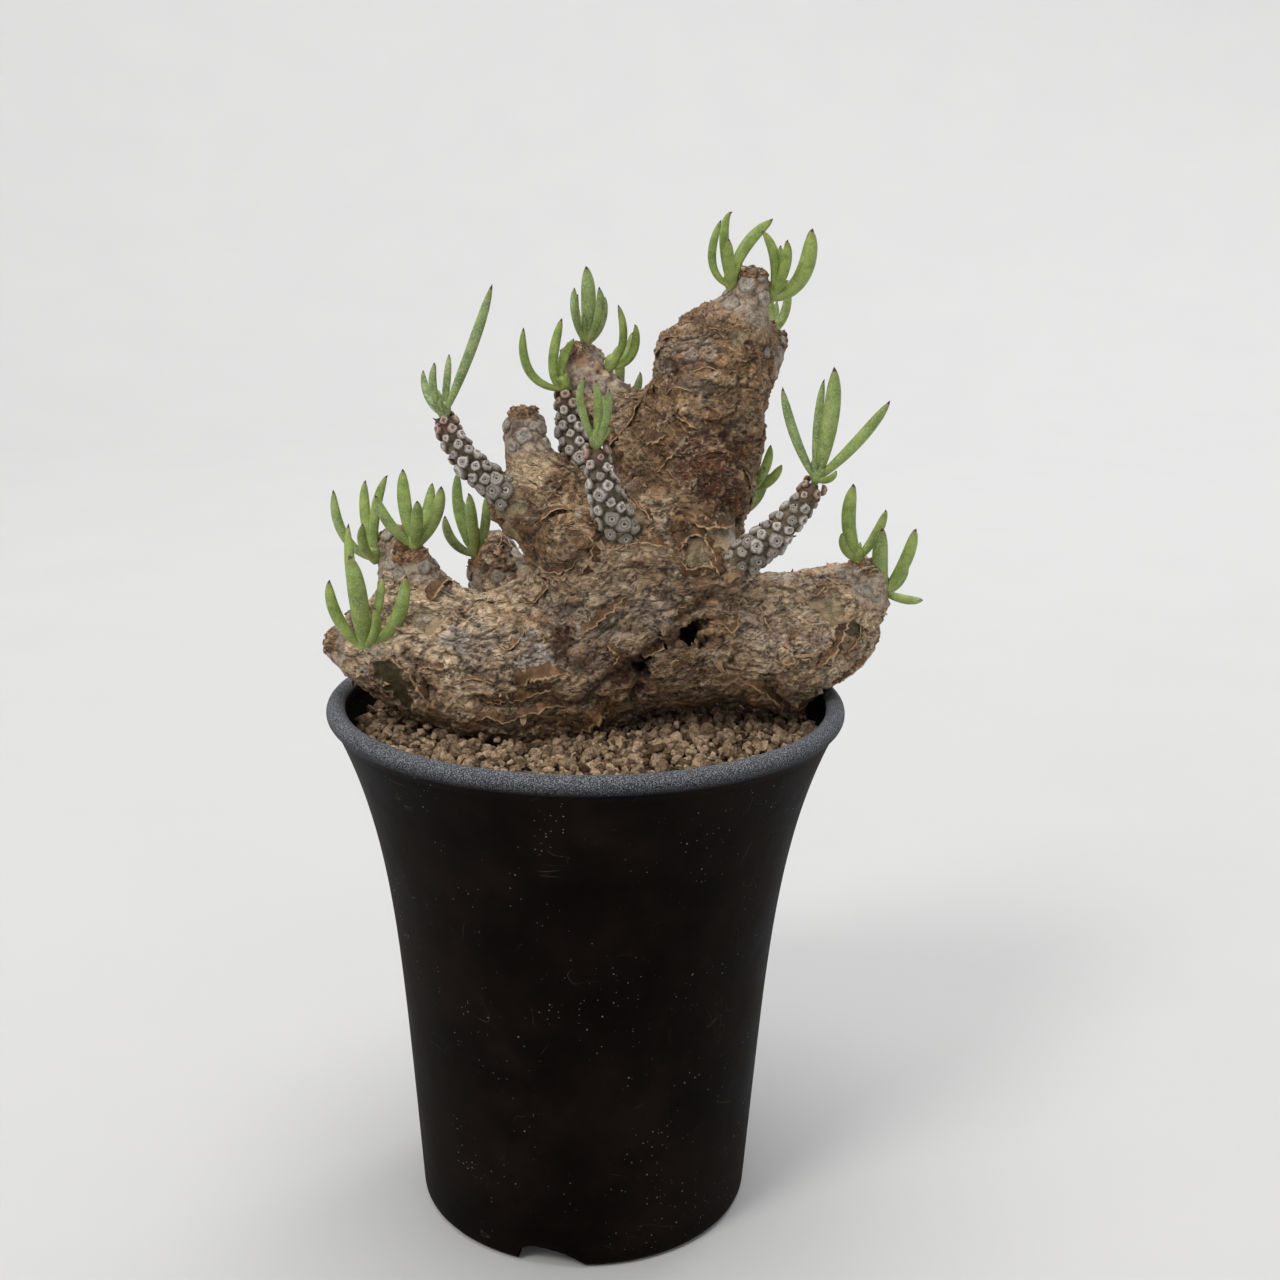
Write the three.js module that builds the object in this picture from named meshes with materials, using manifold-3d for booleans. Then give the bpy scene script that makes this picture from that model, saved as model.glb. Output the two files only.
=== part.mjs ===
import * as THREE from 'three';
import { mergeVertices } from 'three/addons/utils/BufferGeometryUtils.js';
import Module from 'manifold-3d';

// A tylecodon in a flared plastic pot: a squat swollen stem with peeling bark lies on gritty soil,
// with stubs, short knobbly shoots and tufts of plump leaves. Millimetres, +Z up. The origin is on
// the table, under the middle of the whole outline.

// Driving dimensions of the pot
const POT_HEIGHT = 126;
const RIM_RADIUS = 60;
const ROLL_RADIUS = 2.25;
const FOOT_RADIUS = 39.7;
const FOOT_ROUNDING = 2;
const FOOT_RING_WIDTH = 4.4;
const WALL_THICKNESS = 1.6;
const WALL_LEAN = 0.07;
const FLARE_OUT = 10;
const FLARE_POWER = 4.8;
const WALL_LEVELS = [30, 70, 94, 110];
const POT_SEGMENTS = 36;
const ROLL_STEPS = 6;
const FLOOR_UNDERSIDE = 6;
const FLOOR_TOP = 7.8;
const DRAIN_RADIUS = 9;
const NOTCH_COUNT = 3;
const NOTCH_WIDTH = 16.8;
const NOTCH_HEIGHT = 5;
const FIRST_NOTCH_ANGLE = -98.5;

// Driving dimensions of the soil and the plant
const SOIL_LEVEL = 118;
const SOIL_LEVELS = [66, 98];
const SOIL_WALL_GAP = 0.9;
const GRIT_SIZE = 4.4;
const GRIT_RELIEF = 1.1;
const GRIT_STRAY = 0.25;
const ROOT_DEPTH = 12;
const GAP = 0.3;
const OUTLINE_MIDDLE = [8.8, 0];

const degrees = (angle) => THREE.MathUtils.degToRad(angle);
const vector = (point) => new THREE.Vector3(point[0], point[1], point[2]);

// Materials of the pieces
function finish(color, roughness) {
  return new THREE.MeshStandardMaterial({ color, roughness, metalness: 0 });
}
const blackPlastic = finish(0x1b1a1b, 0.55);
const brownGrit = finish(0x7d6651, 0.95);
const bark = finish(0x8a7760, 0.9);
const shootBark = finish(0x8f8779, 0.85);
const leafGreen = finish(0x86a45c, 0.5);

// Solids: closed meshes that can be joined and cut
const wasm = await Module();
wasm.setup();
const MERGE_DISTANCE = 1e-4;

function solid(geometry) {
  const plain = geometry.clone();
  plain.deleteAttribute('normal');
  plain.deleteAttribute('uv');
  const merged = mergeVertices(plain, MERGE_DISTANCE);
  return new wasm.Manifold(new wasm.Mesh({
    numProp: 3,
    vertProperties: new Float32Array(merged.attributes.position.array),
    triVerts: new Uint32Array(merged.index.array),
  }));
}

function geometryOf(body) {
  const mesh = body.getMesh();
  const geometry = new THREE.BufferGeometry();
  geometry.setAttribute('position', new THREE.BufferAttribute(mesh.vertProperties, 3));
  geometry.setIndex(new THREE.BufferAttribute(mesh.triVerts, 1));
  geometry.computeVertexNormals();
  return geometry;
}

function join(bodies) {
  return bodies.reduce((sum, body) => sum.add(body));
}

// The biggest connected body of a solid, without the scraps that a cut leaves
function mainBody(body) {
  const pieces = body.decompose();
  return pieces.reduce((best, piece) => (piece.volume() > best.volume() ? piece : best));
}

// A named piece, whose own origin is moved to the given point of its parent
function piece(name, body, material, origin = [0, 0, 0]) {
  const geometry = geometryOf(body).translate(-origin[0], -origin[1], -origin[2]);
  const mesh = new THREE.Mesh(geometry, material);
  mesh.name = name;
  mesh.position.set(...origin);
  return mesh;
}

// Repeatable random numbers from 0 to 1
function randomFrom(seed) {
  let state = seed;
  return () => {
    state = (state * 1664525 + 1013904223) % 4294967296;
    return state / 4294967296;
  };
}

// A closed tube round a curve. radiusAt gives its radius from the place along the curve, 0 to 1,
// and the corner of the section.
const FRAMES_ALONG = 100;

function taperedTube(curve, radiusAt, sides, stations) {
  const frames = curve.computeFrenetFrames(FRAMES_ALONG);
  const positions = [];
  const indices = [];
  const centre = new THREE.Vector3();
  const corner = new THREE.Vector3();
  stations.forEach((t) => {
    const step = Math.round(t * FRAMES_ALONG);
    curve.getPointAt(t, centre);
    for (let side = 0; side < sides; side += 1) {
      const turn = (side / sides) * 2 * Math.PI;
      corner.copy(centre);
      corner.addScaledVector(frames.normals[step], Math.cos(turn) * radiusAt(t, side));
      corner.addScaledVector(frames.binormals[step], Math.sin(turn) * radiusAt(t, side));
      positions.push(corner.x, corner.y, corner.z);
    }
  });
  for (let ring = 0; ring < stations.length - 1; ring += 1) {
    for (let side = 0; side < sides; side += 1) {
      const a = ring * sides + side;
      const b = ring * sides + ((side + 1) % sides);
      indices.push(a, b, a + sides, b, b + sides, a + sides);
    }
  }
  const endCap = (ring, along, flip) => {
    const hub = positions.length / 3;
    curve.getPointAt(along, centre);
    positions.push(centre.x, centre.y, centre.z);
    for (let side = 0; side < sides; side += 1) {
      const a = ring * sides + side;
      const b = ring * sides + ((side + 1) % sides);
      indices.push(...(flip ? [hub, b, a] : [hub, a, b]));
    }
  };
  endCap(0, 0, true);
  endCap(stations.length - 1, 1, false);
  const geometry = new THREE.BufferGeometry();
  geometry.setAttribute('position', new THREE.Float32BufferAttribute(positions, 3));
  geometry.setIndex(indices);
  return geometry;
}

// Pot: one wall of revolution that leans out and flares to a rolled rim, a raised floor with a
// drain hole, and a foot ring with arched notches
const ROLL_CENTRE = new THREE.Vector2(RIM_RADIUS - ROLL_RADIUS, POT_HEIGHT - ROLL_RADIUS);
const ROLL_START = -75;
const ROLL_SWEEP = 315;
const NOTCH_TOP = [-0.5, 0.45];
const NOTCH_REACH_IN = 8;
const NOTCH_REACH_OUT = 4;
const CUT_MARGIN = 1;

function wallRadius(z) {
  const flare = FLARE_OUT * (z / (POT_HEIGHT - 2 * ROLL_RADIUS)) ** FLARE_POWER;
  return FOOT_RADIUS + WALL_LEAN * z + flare;
}

function innerRadius(z) {
  return wallRadius(z) - WALL_THICKNESS;
}

function potProfile() {
  const points = [];
  const add = (radius, z) => points.push(new THREE.Vector2(radius, z));
  const cornerInset = FOOT_ROUNDING * (1 - Math.SQRT1_2);
  add(FOOT_RADIUS - FOOT_RING_WIDTH, 0);
  add(FOOT_RADIUS - FOOT_ROUNDING, 0);
  add(FOOT_RADIUS - cornerInset, cornerInset);
  add(wallRadius(FOOT_ROUNDING), FOOT_ROUNDING);
  WALL_LEVELS.forEach((z) => add(wallRadius(z), z));
  for (let step = 0; step <= ROLL_STEPS; step += 1) {
    const angle = degrees(ROLL_START + (step / ROLL_STEPS) * ROLL_SWEEP);
    const [across, up] = [Math.cos(angle), Math.sin(angle)];
    add(ROLL_CENTRE.x + ROLL_RADIUS * across, ROLL_CENTRE.y + ROLL_RADIUS * up);
  }
  WALL_LEVELS.slice().reverse().forEach((z) => add(innerRadius(z), z));
  add(innerRadius(FLOOR_TOP), FLOOR_TOP);
  add(DRAIN_RADIUS, FLOOR_TOP);
  add(DRAIN_RADIUS, FLOOR_UNDERSIDE);
  add(FOOT_RADIUS - FOOT_RING_WIDTH, FLOOR_UNDERSIDE);
  points.push(points[0].clone());
  return points;
}

// An arched notch, steep on its left and easy on its right, that cuts through the foot ring
function footNotch(angle) {
  const half = NOTCH_WIDTH / 2;
  const [topLeft, topRight] = NOTCH_TOP.map((share) => share * half);
  const arch = new THREE.Shape();
  arch.moveTo(-half, -CUT_MARGIN);
  arch.lineTo(-half, 0);
  arch.quadraticCurveTo(-half, NOTCH_HEIGHT, topLeft, NOTCH_HEIGHT);
  arch.quadraticCurveTo(topRight, NOTCH_HEIGHT, half, 0);
  arch.lineTo(half, -CUT_MARGIN);
  arch.closePath();
  const depth = NOTCH_REACH_IN + NOTCH_REACH_OUT;
  const cut = new THREE.ExtrudeGeometry(arch, { depth, bevelEnabled: false, curveSegments: 4 });
  cut.rotateX(degrees(90));
  cut.translate(0, -FOOT_RADIUS + NOTCH_REACH_IN, 0);
  cut.rotateZ(degrees(angle + 90));
  return solid(cut);
}

function makePot() {
  const wall = new THREE.LatheGeometry(potProfile(), POT_SEGMENTS);
  wall.rotateX(degrees(90));
  let body = solid(wall);
  for (let notch = 0; notch < NOTCH_COUNT; notch += 1) {
    body = body.subtract(footNotch(FIRST_NOTCH_ANGLE + (notch * 360) / NOTCH_COUNT));
  }
  return body;
}

// The woody body as a field. A limb is a chain of round cones, [x, y, height above the soil,
// radius], and the limbs melt into each other. The plant's own origin is on the pot's axis at the
// level of the soil.
const LIMBS = [
  // the squat body, with its foot in the soil
  [[-36, 1, 11, 10], [-22, 1, 8, 14], [-8, 3, 8, 14.5], [4, 6, 10, 12]],
  [[-10, 4, 4, 12], [-8, 5, -8, 9], [-8, 5, -20, 8]],
  [[-7, 3, 19, 15.5], [8, 4, 22, 16.5], [24, 6, 22, 15]],
  [[9, 5, 31, 16], [14, 5, 43, 15]],
  // the trunk, its left shoulder, its crown and the knob at its right edge
  [[16, 5, 39, 15], [23, 6, 55, 13.5], [26, 6, 71, 13.5], [28, 7, 81, 13], [30, 7, 87, 10.5]],
  [[25, 7, 83, 9.5], [21.5, 6, 86, 6.5]],
  [[32, 7, 86, 7.5], [34.5, 7, 96, 5]],
  [[36, 11, 83, 6], [40.5, 13, 86, 4], [42, 14, 89, 3]],
  [[25, 8, 49, 9], [33, 11, 53, 4.6]],
  // the left mass under the upper stubs
  [[5, 1, 39, 13.5], [-5, 1, 46, 11.5], [-10, 3, 56, 8.5], [-13, 4, 62, 5.5]],
  [[15, 11, 63, 10], [7, 14, 71, 7.5], [0, 15, 77, 5.5]],
  // the left limb, its drawn-out end and its upright branches
  [[-7, 3, 16, 15], [-20, 2, 14.5, 15.5], [-32, 1, 15.5, 14.5], [-41, 0, 18, 12.5], [-49, -1, 19, 9]],
  [[-49, -1, 18, 9], [-54.5, -1, 19, 5]],
  [[-38, 6, 23, 9.5], [-42, 7, 33, 6.5], [-45, 8, 39, 4.6]],
  [[-32, 5, 22, 9], [-38, 4.5, 30, 6], [-39.8, 4, 36, 4]],
  // the limbs behind, on the left
  [[-12, 12, 20, 11], [-18, 19, 26, 7], [-23, 21, 31, 4.2], [-26.5, 21, 33.6, 3.2]],
  [[-8, 16, 22, 11], [-17, 24, 27, 7.5], [-22, 27, 33, 5]],
  // the right lobe and its stub
  [[24, 6, 19, 14.5], [36, 8, 19.5, 15], [44, 8, 19.5, 15.5], [56, 9, 23.5, 12.5], [60, 9, 28, 8.5]],
  [[44, 7, 18, 14], [52, 5, 19.5, 10.6]],
  [[59, 9, 28, 8], [64, 8, 33, 4.6], [65, 8, 35.3, 3.6]],
  // the lobe behind, on the right
  [[16, 10, 20, 15], [24, 22, 22, 12], [30, 30, 28, 8.5], [33, 33, 36, 5], [34.4, 34, 41, 4]],
  // knobs and collars on the front
  [[0, -8, 44, 7], [-2.5, -11, 46, 5.5]],
  [[11, -7, 47, 8], [8, -10, 49, 5]],
  [[28, -3, 40, 8.5], [33, -6, 40, 5]],
  [[-17, -2, 52, 6], [-19, -4, 54, 4.5]],
];
const BLEND = 5;
const WOOD_CELL = 4.4;
const WOOD_LOW = [-70, -27, -21];
const WOOD_HIGH = [78, 48, 112];

function limbDistance(x, y, z, limb) {
  let nearest = Infinity;
  for (let i = 0; i < limb.length - 1; i += 1) {
    const [ax, ay, az, ar] = limb[i];
    const [bx, by, bz, br] = limb[i + 1];
    const [ux, uy, uz] = [bx - ax, by - ay, bz - az];
    const along = ((x - ax) * ux + (y - ay) * uy + (z - az) * uz) / (ux * ux + uy * uy + uz * uz);
    const t = Math.min(Math.max(along, 0), 1);
    const reach = Math.hypot(x - ax - t * ux, y - ay - t * uy, z - az - t * uz);
    nearest = Math.min(nearest, reach - ar - t * (br - ar));
  }
  return nearest;
}

// Low swellings and folds of the bark
const SWELL_HEIGHT = 0.9;
const SWELL_PITCH = [5.1, 4.6, 5.9];
const SWELL_BEND = 1.3;
const SWELL_BEND_PITCH = 7;
const FOLD_HEIGHT = 0.35;
const FOLD_PITCH = [2.9, 3.7];

function barkRelief(x, y, z) {
  const bend = SWELL_BEND * Math.sin(z / SWELL_BEND_PITCH);
  const across = Math.sin(x / SWELL_PITCH[0] + bend) * Math.sin(y / SWELL_PITCH[1] + 1);
  const swell = across * Math.sin(z / SWELL_PITCH[2] + bend / 2);
  const fold = Math.sin((x + z) / FOLD_PITCH[0]) * Math.cos((z - y) / FOLD_PITCH[1]);
  return SWELL_HEIGHT * swell + FOLD_HEIGHT * fold;
}

function woodDistance(x, y, z) {
  let distance = limbDistance(x, y, z, LIMBS[0]);
  for (let i = 1; i < LIMBS.length; i += 1) {
    const next = limbDistance(x, y, z, LIMBS[i]);
    const mix = Math.max(BLEND - Math.abs(distance - next), 0);
    distance = Math.min(distance, next) - (mix * mix) / (4 * BLEND);
  }
  return distance + (z > 0 ? barkRelief(x, y, z) : 0);
}

// The wood as a field, grown all round by some millimetres, with its root cut off flat
function woodGrown(grow) {
  const base = -ROOT_DEPTH - Math.min(grow, GAP);
  return (x, y, z) => Math.max(woodDistance(x, y, z) - grow, base - z);
}

const GRADIENT_STEP = 0.2;

function gradient(field, x, y, z) {
  const h = GRADIENT_STEP;
  return new THREE.Vector3(
    field(x + h, y, z) - field(x - h, y, z),
    field(x, y + h, z) - field(x, y - h, z),
    field(x, y, z + h) - field(x, y, z - h),
  ).divideScalar(2 * h);
}

// The closed surface where a field is zero. In each cell of a grid the crossed edges that belong
// together give one vertex, and each grid edge that is crossed gives one quad between four cells.
const CORNERS = [0, 1, 2, 3, 4, 5, 6, 7];
const EDGE_KEYS = 3 * CORNERS.length;
const edgeKey = (axis, corner) => axis * CORNERS.length + corner;
const SETTLE_PASSES = 3;
const LONGEST_STEP = 0.3 * WOOD_CELL;
const LEAST_SLOPE = 0.3;

// Puts the crossed edges of a cell in groups, one for each sheet of the surface in it
function edgeGroups(isInside) {
  const groupOf = new Map();
  for (let axis = 0; axis < 3; axis += 1) {
    CORNERS.forEach((corner) => {
      if (!(corner & (1 << axis)) && isInside[corner] !== isInside[corner | (1 << axis)]) {
        groupOf.set(edgeKey(axis, corner), new Set([edgeKey(axis, corner)]));
      }
    });
  }
  const unite = (first, second) => {
    groupOf.get(second).forEach((edge) => {
      groupOf.get(first).add(edge);
      groupOf.set(edge, groupOf.get(first));
    });
  };
  for (let axis = 0; axis < 3; axis += 1) {
    const [a, b] = [(axis + 1) % 3, (axis + 2) % 3];
    [0, 1 << axis].forEach((face) => {
      const edges = [
        edgeKey(a, face),
        edgeKey(a, face | (1 << b)),
        edgeKey(b, face),
        edgeKey(b, face | (1 << a)),
      ];
      const crossed = edges.filter((edge) => groupOf.has(edge));
      if (crossed.length === 2) {
        unite(crossed[0], crossed[1]);
      } else if (crossed.length === 4) {
        const [highA, highB] = isInside[face] ? [0, 0] : [1 << a, 0];
        unite(edgeKey(a, face | highB), edgeKey(b, face | highA));
        unite(edgeKey(a, face | ((1 << b) - highB)), edgeKey(b, face | ((1 << a) - highA)));
      }
    });
  }
  return [...new Set(groupOf.values())];
}

function fieldSurface(field, low, high, cell) {
  const count = low.map((value, axis) => Math.ceil((high[axis] - value) / cell) + 1);
  const strides = [1, count[0], count[0] * count[1]];
  const values = new Float32Array(count[0] * count[1] * count[2]);
  const at = (i, j, k) => i + j * strides[1] + k * strides[2];
  const shift = CORNERS.map((c) => at(c & 1, (c >> 1) & 1, c >> 2));
  const eachPoint = (from, visit) => {
    for (let k = from; k < count[2] - from; k += 1) {
      for (let j = from; j < count[1] - from; j += 1) {
        for (let i = from; i < count[0] - from; i += 1) {
          visit(i, j, k, at(i, j, k));
        }
      }
    }
  };
  eachPoint(0, (i, j, k, here) => {
    values[here] = field(low[0] + i * cell, low[1] + j * cell, low[2] + k * cell);
  });

  const points = [];
  const vertexOf = new Map();
  eachPoint(1, (i, j, k) => {
    const here = at(i - 1, j - 1, k - 1);
    const corner = CORNERS.map((c) => values[here + shift[c]]);
    edgeGroups(corner.map((value) => value < 0)).forEach((group) => {
      const sum = new THREE.Vector3();
      group.forEach((edge) => {
        const [axis, start] = [edge >> 3, edge & 7];
        const [a, b] = [corner[start], corner[start | (1 << axis)]];
        const offset = new THREE.Vector3(start & 1, (start >> 1) & 1, start >> 2);
        sum.add(offset.setComponent(axis, a / (a - b)));
        vertexOf.set(here * EDGE_KEYS + edge, points.length);
      });
      sum.divideScalar(group.size).add(new THREE.Vector3(i - 1, j - 1, k - 1));
      points.push(sum.multiplyScalar(cell).add(vector(low)));
    });
  });
  points.forEach((point) => {
    for (let pass = 0; pass < SETTLE_PASSES; pass += 1) {
      const slope = gradient(field, point.x, point.y, point.z);
      const miss = field(point.x, point.y, point.z) / Math.max(slope.lengthSq(), LEAST_SLOPE);
      point.addScaledVector(slope, -THREE.MathUtils.clamp(miss, -LONGEST_STEP, LONGEST_STEP));
    }
  });

  const indices = [];
  const addQuad = (a, b, c, d) => {
    const first = points[a].distanceToSquared(points[c]) < points[b].distanceToSquared(points[d]);
    indices.push(...(first ? [a, b, c, a, c, d] : [a, b, d, b, c, d]));
  };
  eachPoint(1, (i, j, k, here) => {
    for (let axis = 0; axis < 3; axis += 1) {
      const inside = values[here] < 0;
      if (inside !== values[here + strides[axis]] < 0) {
        const [u, v] = [1 << ((axis + 1) % 3), 1 << ((axis + 2) % 3)];
        const ring = [0, u, u | v, v].map((back) => {
          return vertexOf.get((here - shift[back]) * EDGE_KEYS + edgeKey(axis, back));
        });
        addQuad(...(inside ? ring : ring.reverse()));
      }
    }
  });
  const geometry = new THREE.BufferGeometry();
  geometry.setFromPoints(points);
  geometry.setIndex(indices);
  return geometry;
}

// Stubs of old branches, cut flat or dried at the top: a path, the radius at its two ends, and
// the height of the rings that old leaf scars leave round it
const STUBS = [
  { path: [[33.5, 7, 88], [35, 7, 97], [36, 7, 104.5]], from: 6, to: 4, scars: 0.45 },
  { path: [[-13, 4, 60], [-14.5, 4.5, 67], [-14.8, 5, 73.5]], from: 5, to: 3.4, scars: 0.3 },
  { path: [[3, 14.5, 73], [-2, 15, 80], [-1.2, 15, 86.4]], from: 6, to: 3.6, scars: 0.4 },
  { path: [[-20, 25, 29], [-24, 28, 36], [-25, 28.5, 40]], from: 6, to: 4.4, scars: 0.2 },
  { path: [[-43.5, 8.5, 36], [-46.9, 9, 43.3]], from: 4.6, to: 2.9, scars: 0.4 },
  { path: [[-54, -1, 19], [-60, -1.5, 20.6]], from: 4.6, to: 2.8, scars: 0.4 },
];
const SCAR_PITCH = 3.4;
const STUB_SIDES = 7;
const ROOM_ROUND_STUB = 0.5;

function evenStations(steps) {
  return Array.from({ length: steps + 1 }, (_, step) => step / steps);
}

// A curve through the points, drawn out past its last one
function pathThrough(path, extra) {
  const points = path.map(vector);
  const last = points[points.length - 1];
  const heading = last.clone().sub(points[points.length - 2]).normalize();
  last.addScaledVector(heading, extra);
  return new THREE.CatmullRomCurve3(points);
}

function makeStub({ path, from, to, scars }, grow) {
  const curve = pathThrough(path, Math.min(grow, GAP));
  const length = curve.getLength();
  const radiusAt = (t) => {
    const ring = scars * Math.cos((t * length * 2 * Math.PI) / SCAR_PITCH);
    return from + (to - from) * t + ring + grow;
  };
  const steps = Math.max(3, Math.round((length / SCAR_PITCH) * 2));
  return solid(taperedTube(curve, radiusAt, STUB_SIDES, evenStations(steps)));
}

// Flakes of papery bark: small curled plates whose upper edge is sunk in the wood. Each is given
// by its place in the front view, its side of the plant, its turn, length, width and lift.
const FLAKES = [
  { x: 9, z: 8.5, side: -1, turn: 62, long: 13, wide: 5, lift: 1.2 },
  { x: 15, z: 85, side: -1, turn: 70, long: 6, wide: 5, lift: 2 },
  { x: 14, z: 74, side: -1, turn: 40, long: 8, wide: 6, lift: 2 },
  { x: 27, z: 66, side: -1, turn: -15, long: 8, wide: 7, lift: 1.4 },
  { x: 32, z: 52, side: -1, turn: 10, long: 9, wide: 7, lift: 1.5 },
  { x: 55, z: 33, side: -1, turn: 50, long: 8, wide: 5, lift: 1.6 },
  { x: 56, z: 20, side: -1, turn: -8, long: 9, wide: 6, lift: 1.3 },
  { x: 38, z: 26, side: -1, turn: 20, long: 8, wide: 7, lift: 1.4 },
  { x: 22, z: 30, side: -1, turn: -25, long: 9, wide: 7, lift: 1.5 },
  { x: 4, z: 34, side: -1, turn: 15, long: 8, wide: 7, lift: 1.4 },
  { x: -12, z: 14, side: -1, turn: 75, long: 8, wide: 5, lift: 1.7 },
  { x: -12, z: 38, side: -1, turn: 30, long: 8, wide: 7, lift: 1.5 },
  { x: -36, z: 20, side: -1, turn: 60, long: 8, wide: 5, lift: 1.3 },
  { x: 24, z: 70, side: 1, turn: 20, long: 9, wide: 7, lift: 1.6 },
  { x: 18, z: 50, side: 1, turn: -20, long: 9, wide: 7, lift: 1.5 },
  { x: 52, z: 24, side: 1, turn: 35, long: 8, wide: 6, lift: 1.5 },
  { x: -30, z: 20, side: 1, turn: -40, long: 8, wide: 6, lift: 1.4 },
  { x: 4, z: 38, side: 1, turn: 10, long: 9, wide: 7, lift: 1.5 },
];
const FLAKE_THICKNESS = 0.8;
const FLAKE_SINK = 1.2;
const FLAKE_TAPER = 0.35;
const FLAKE_ROWS = [-0.3, 0.35, 1];
const BARK_ROUNDNESS = 13;
const APPROACH_FROM = 60;
const APPROACH_STEPS = 60;
const APPROACH_SHARE = 0.7;

// The point of the bark at x and z, met from the front (side -1) or from behind (side 1)
function pointOnBark(x, z, side) {
  let y = side * APPROACH_FROM;
  for (let step = 0; step < APPROACH_STEPS; step += 1) {
    y -= side * woodDistance(x, y, z) * APPROACH_SHARE;
  }
  return new THREE.Vector3(x, y, z);
}

function makeFlake({ x, z, side, turn, long, wide, lift }) {
  const place = pointOnBark(x, z, side);
  const normal = gradient(woodDistance, place.x, place.y, place.z).normalize();
  const across = new THREE.Vector3(0, 0, 1).cross(normal).normalize();
  across.applyAxisAngle(normal, degrees(turn));
  const down = across.clone().cross(normal);
  const positions = [];
  [0, FLAKE_THICKNESS].forEach((above) => {
    FLAKE_ROWS.forEach((row) => {
      [-0.5, 0.5].forEach((column) => {
        const reach = row * long;
        const spread = column * wide * (1 - FLAKE_TAPER * Math.max(row, 0));
        const drop = (reach * reach + spread * spread) / (2 * BARK_ROUNDNESS);
        const sink = row < 0 ? FLAKE_SINK : 0;
        const point = place.clone().addScaledVector(down, reach).addScaledVector(across, spread);
        point.addScaledVector(normal, above - sink - drop + lift * Math.max(row, 0) ** 2);
        positions.push(point.x, point.y, point.z);
      });
    });
  });
  const indices = [];
  const quad = (a, b, c, d) => indices.push(a, b, c, a, c, d);
  [0, 2].forEach((row) => {
    quad(row, row + 1, row + 3, row + 2);
    quad(row + 6, row + 8, row + 9, row + 7);
    quad(row, row + 2, row + 8, row + 6);
    quad(row + 1, row + 7, row + 9, row + 3);
  });
  quad(0, 6, 7, 1);
  quad(4, 5, 11, 10);
  const geometry = new THREE.BufferGeometry();
  geometry.setAttribute('position', new THREE.Float32BufferAttribute(positions, 3));
  geometry.setIndex(indices);
  return solid(geometry);
}

function makeCaudex() {
  const wood = solid(fieldSurface(woodGrown(0), WOOD_LOW, WOOD_HIGH, WOOD_CELL));
  const stubs = STUBS.map((stub) => makeStub(stub, 0));
  return mainBody(join([wood, ...stubs, ...FLAKES.map(makeFlake)]));
}

// The room that the caudex takes up, with the gap that its neighbours keep to it
const ROOM_ROUND_WOOD = 0.8;

function makeCaudexRoom() {
  const wood = solid(fieldSurface(woodGrown(ROOM_ROUND_WOOD), WOOD_LOW, WOOD_HIGH, WOOD_CELL));
  return join([wood, ...STUBS.map((stub) => makeStub(stub, ROOM_ROUND_STUB))]);
}

// Soil: fills the pot up to the level of the grit, whose grains stand out of its top as relief
function makeSoil(room) {
  const rings = Math.floor((innerRadius(SOIL_LEVEL) - SOIL_WALL_GAP) / GRIT_SIZE);
  const around = 6 * rings;
  const random = randomFrom(7);
  const positions = [0, 0, GRIT_RELIEF / 2];
  const top = innerRadius(SOIL_LEVEL - GRIT_RELIEF) - SOIL_WALL_GAP;
  const addPoint = (radius, turn, z) => {
    positions.push(radius * Math.cos(turn), radius * Math.sin(turn), z);
  };
  for (let ring = 1; ring <= rings; ring += 1) {
    const stray = ring < rings ? GRIT_STRAY : 0;
    for (let step = 0; step < 6 * ring; step += 1) {
      const radius = ((ring + stray * (random() - 0.5)) / rings) * top;
      const turn = ((step + stray * (random() - 0.5)) / (6 * ring)) * 2 * Math.PI;
      const height = ring < rings ? (random() - 0.5) * 2 * GRIT_RELIEF : -GRIT_RELIEF;
      addPoint(radius, turn, height);
    }
  }
  const levels = [...SOIL_LEVELS].reverse().concat(FLOOR_TOP + GAP);
  levels.forEach((level) => {
    for (let step = 0; step < around; step += 1) {
      addPoint(innerRadius(level) - SOIL_WALL_GAP, (step / around) * 2 * Math.PI, level - SOIL_LEVEL);
    }
  });
  positions.push(0, 0, FLOOR_TOP + GAP - SOIL_LEVEL);

  const indices = [];
  const firstOf = (ring) => (ring === 0 ? 0 : 1 + 3 * ring * (ring - 1));
  for (let ring = 1; ring <= rings; ring += 1) {
    const [inner, outer] = [firstOf(ring - 1), firstOf(ring)];
    const innerCount = Math.max(6 * (ring - 1), 1);
    for (let sector = 0; sector < 6; sector += 1) {
      for (let step = 0; step < ring; step += 1) {
        const a = outer + sector * ring + step;
        const b = outer + ((sector * ring + step + 1) % (6 * ring));
        const c = inner + ((sector * (ring - 1) + step) % innerCount);
        indices.push(a, b, c);
        if (step < ring - 1) {
          indices.push(b, inner + ((sector * (ring - 1) + step + 1) % innerCount), c);
        }
      }
    }
  }
  const edge = firstOf(rings);
  const hub = positions.length / 3 - 1;
  for (let level = 0; level < levels.length; level += 1) {
    for (let step = 0; step < around; step += 1) {
      const a = edge + level * around + step;
      const b = edge + level * around + ((step + 1) % around);
      indices.push(a, a + around, b, b, a + around, b + around);
    }
  }
  for (let step = 0; step < around; step += 1) {
    const last = edge + levels.length * around;
    indices.push(last + step, hub, last + ((step + 1) % around));
  }
  const geometry = new THREE.BufferGeometry();
  geometry.setAttribute('position', new THREE.Float32BufferAttribute(positions, 3));
  geometry.setIndex(indices);
  return mainBody(solid(geometry).subtract(room));
}

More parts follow.
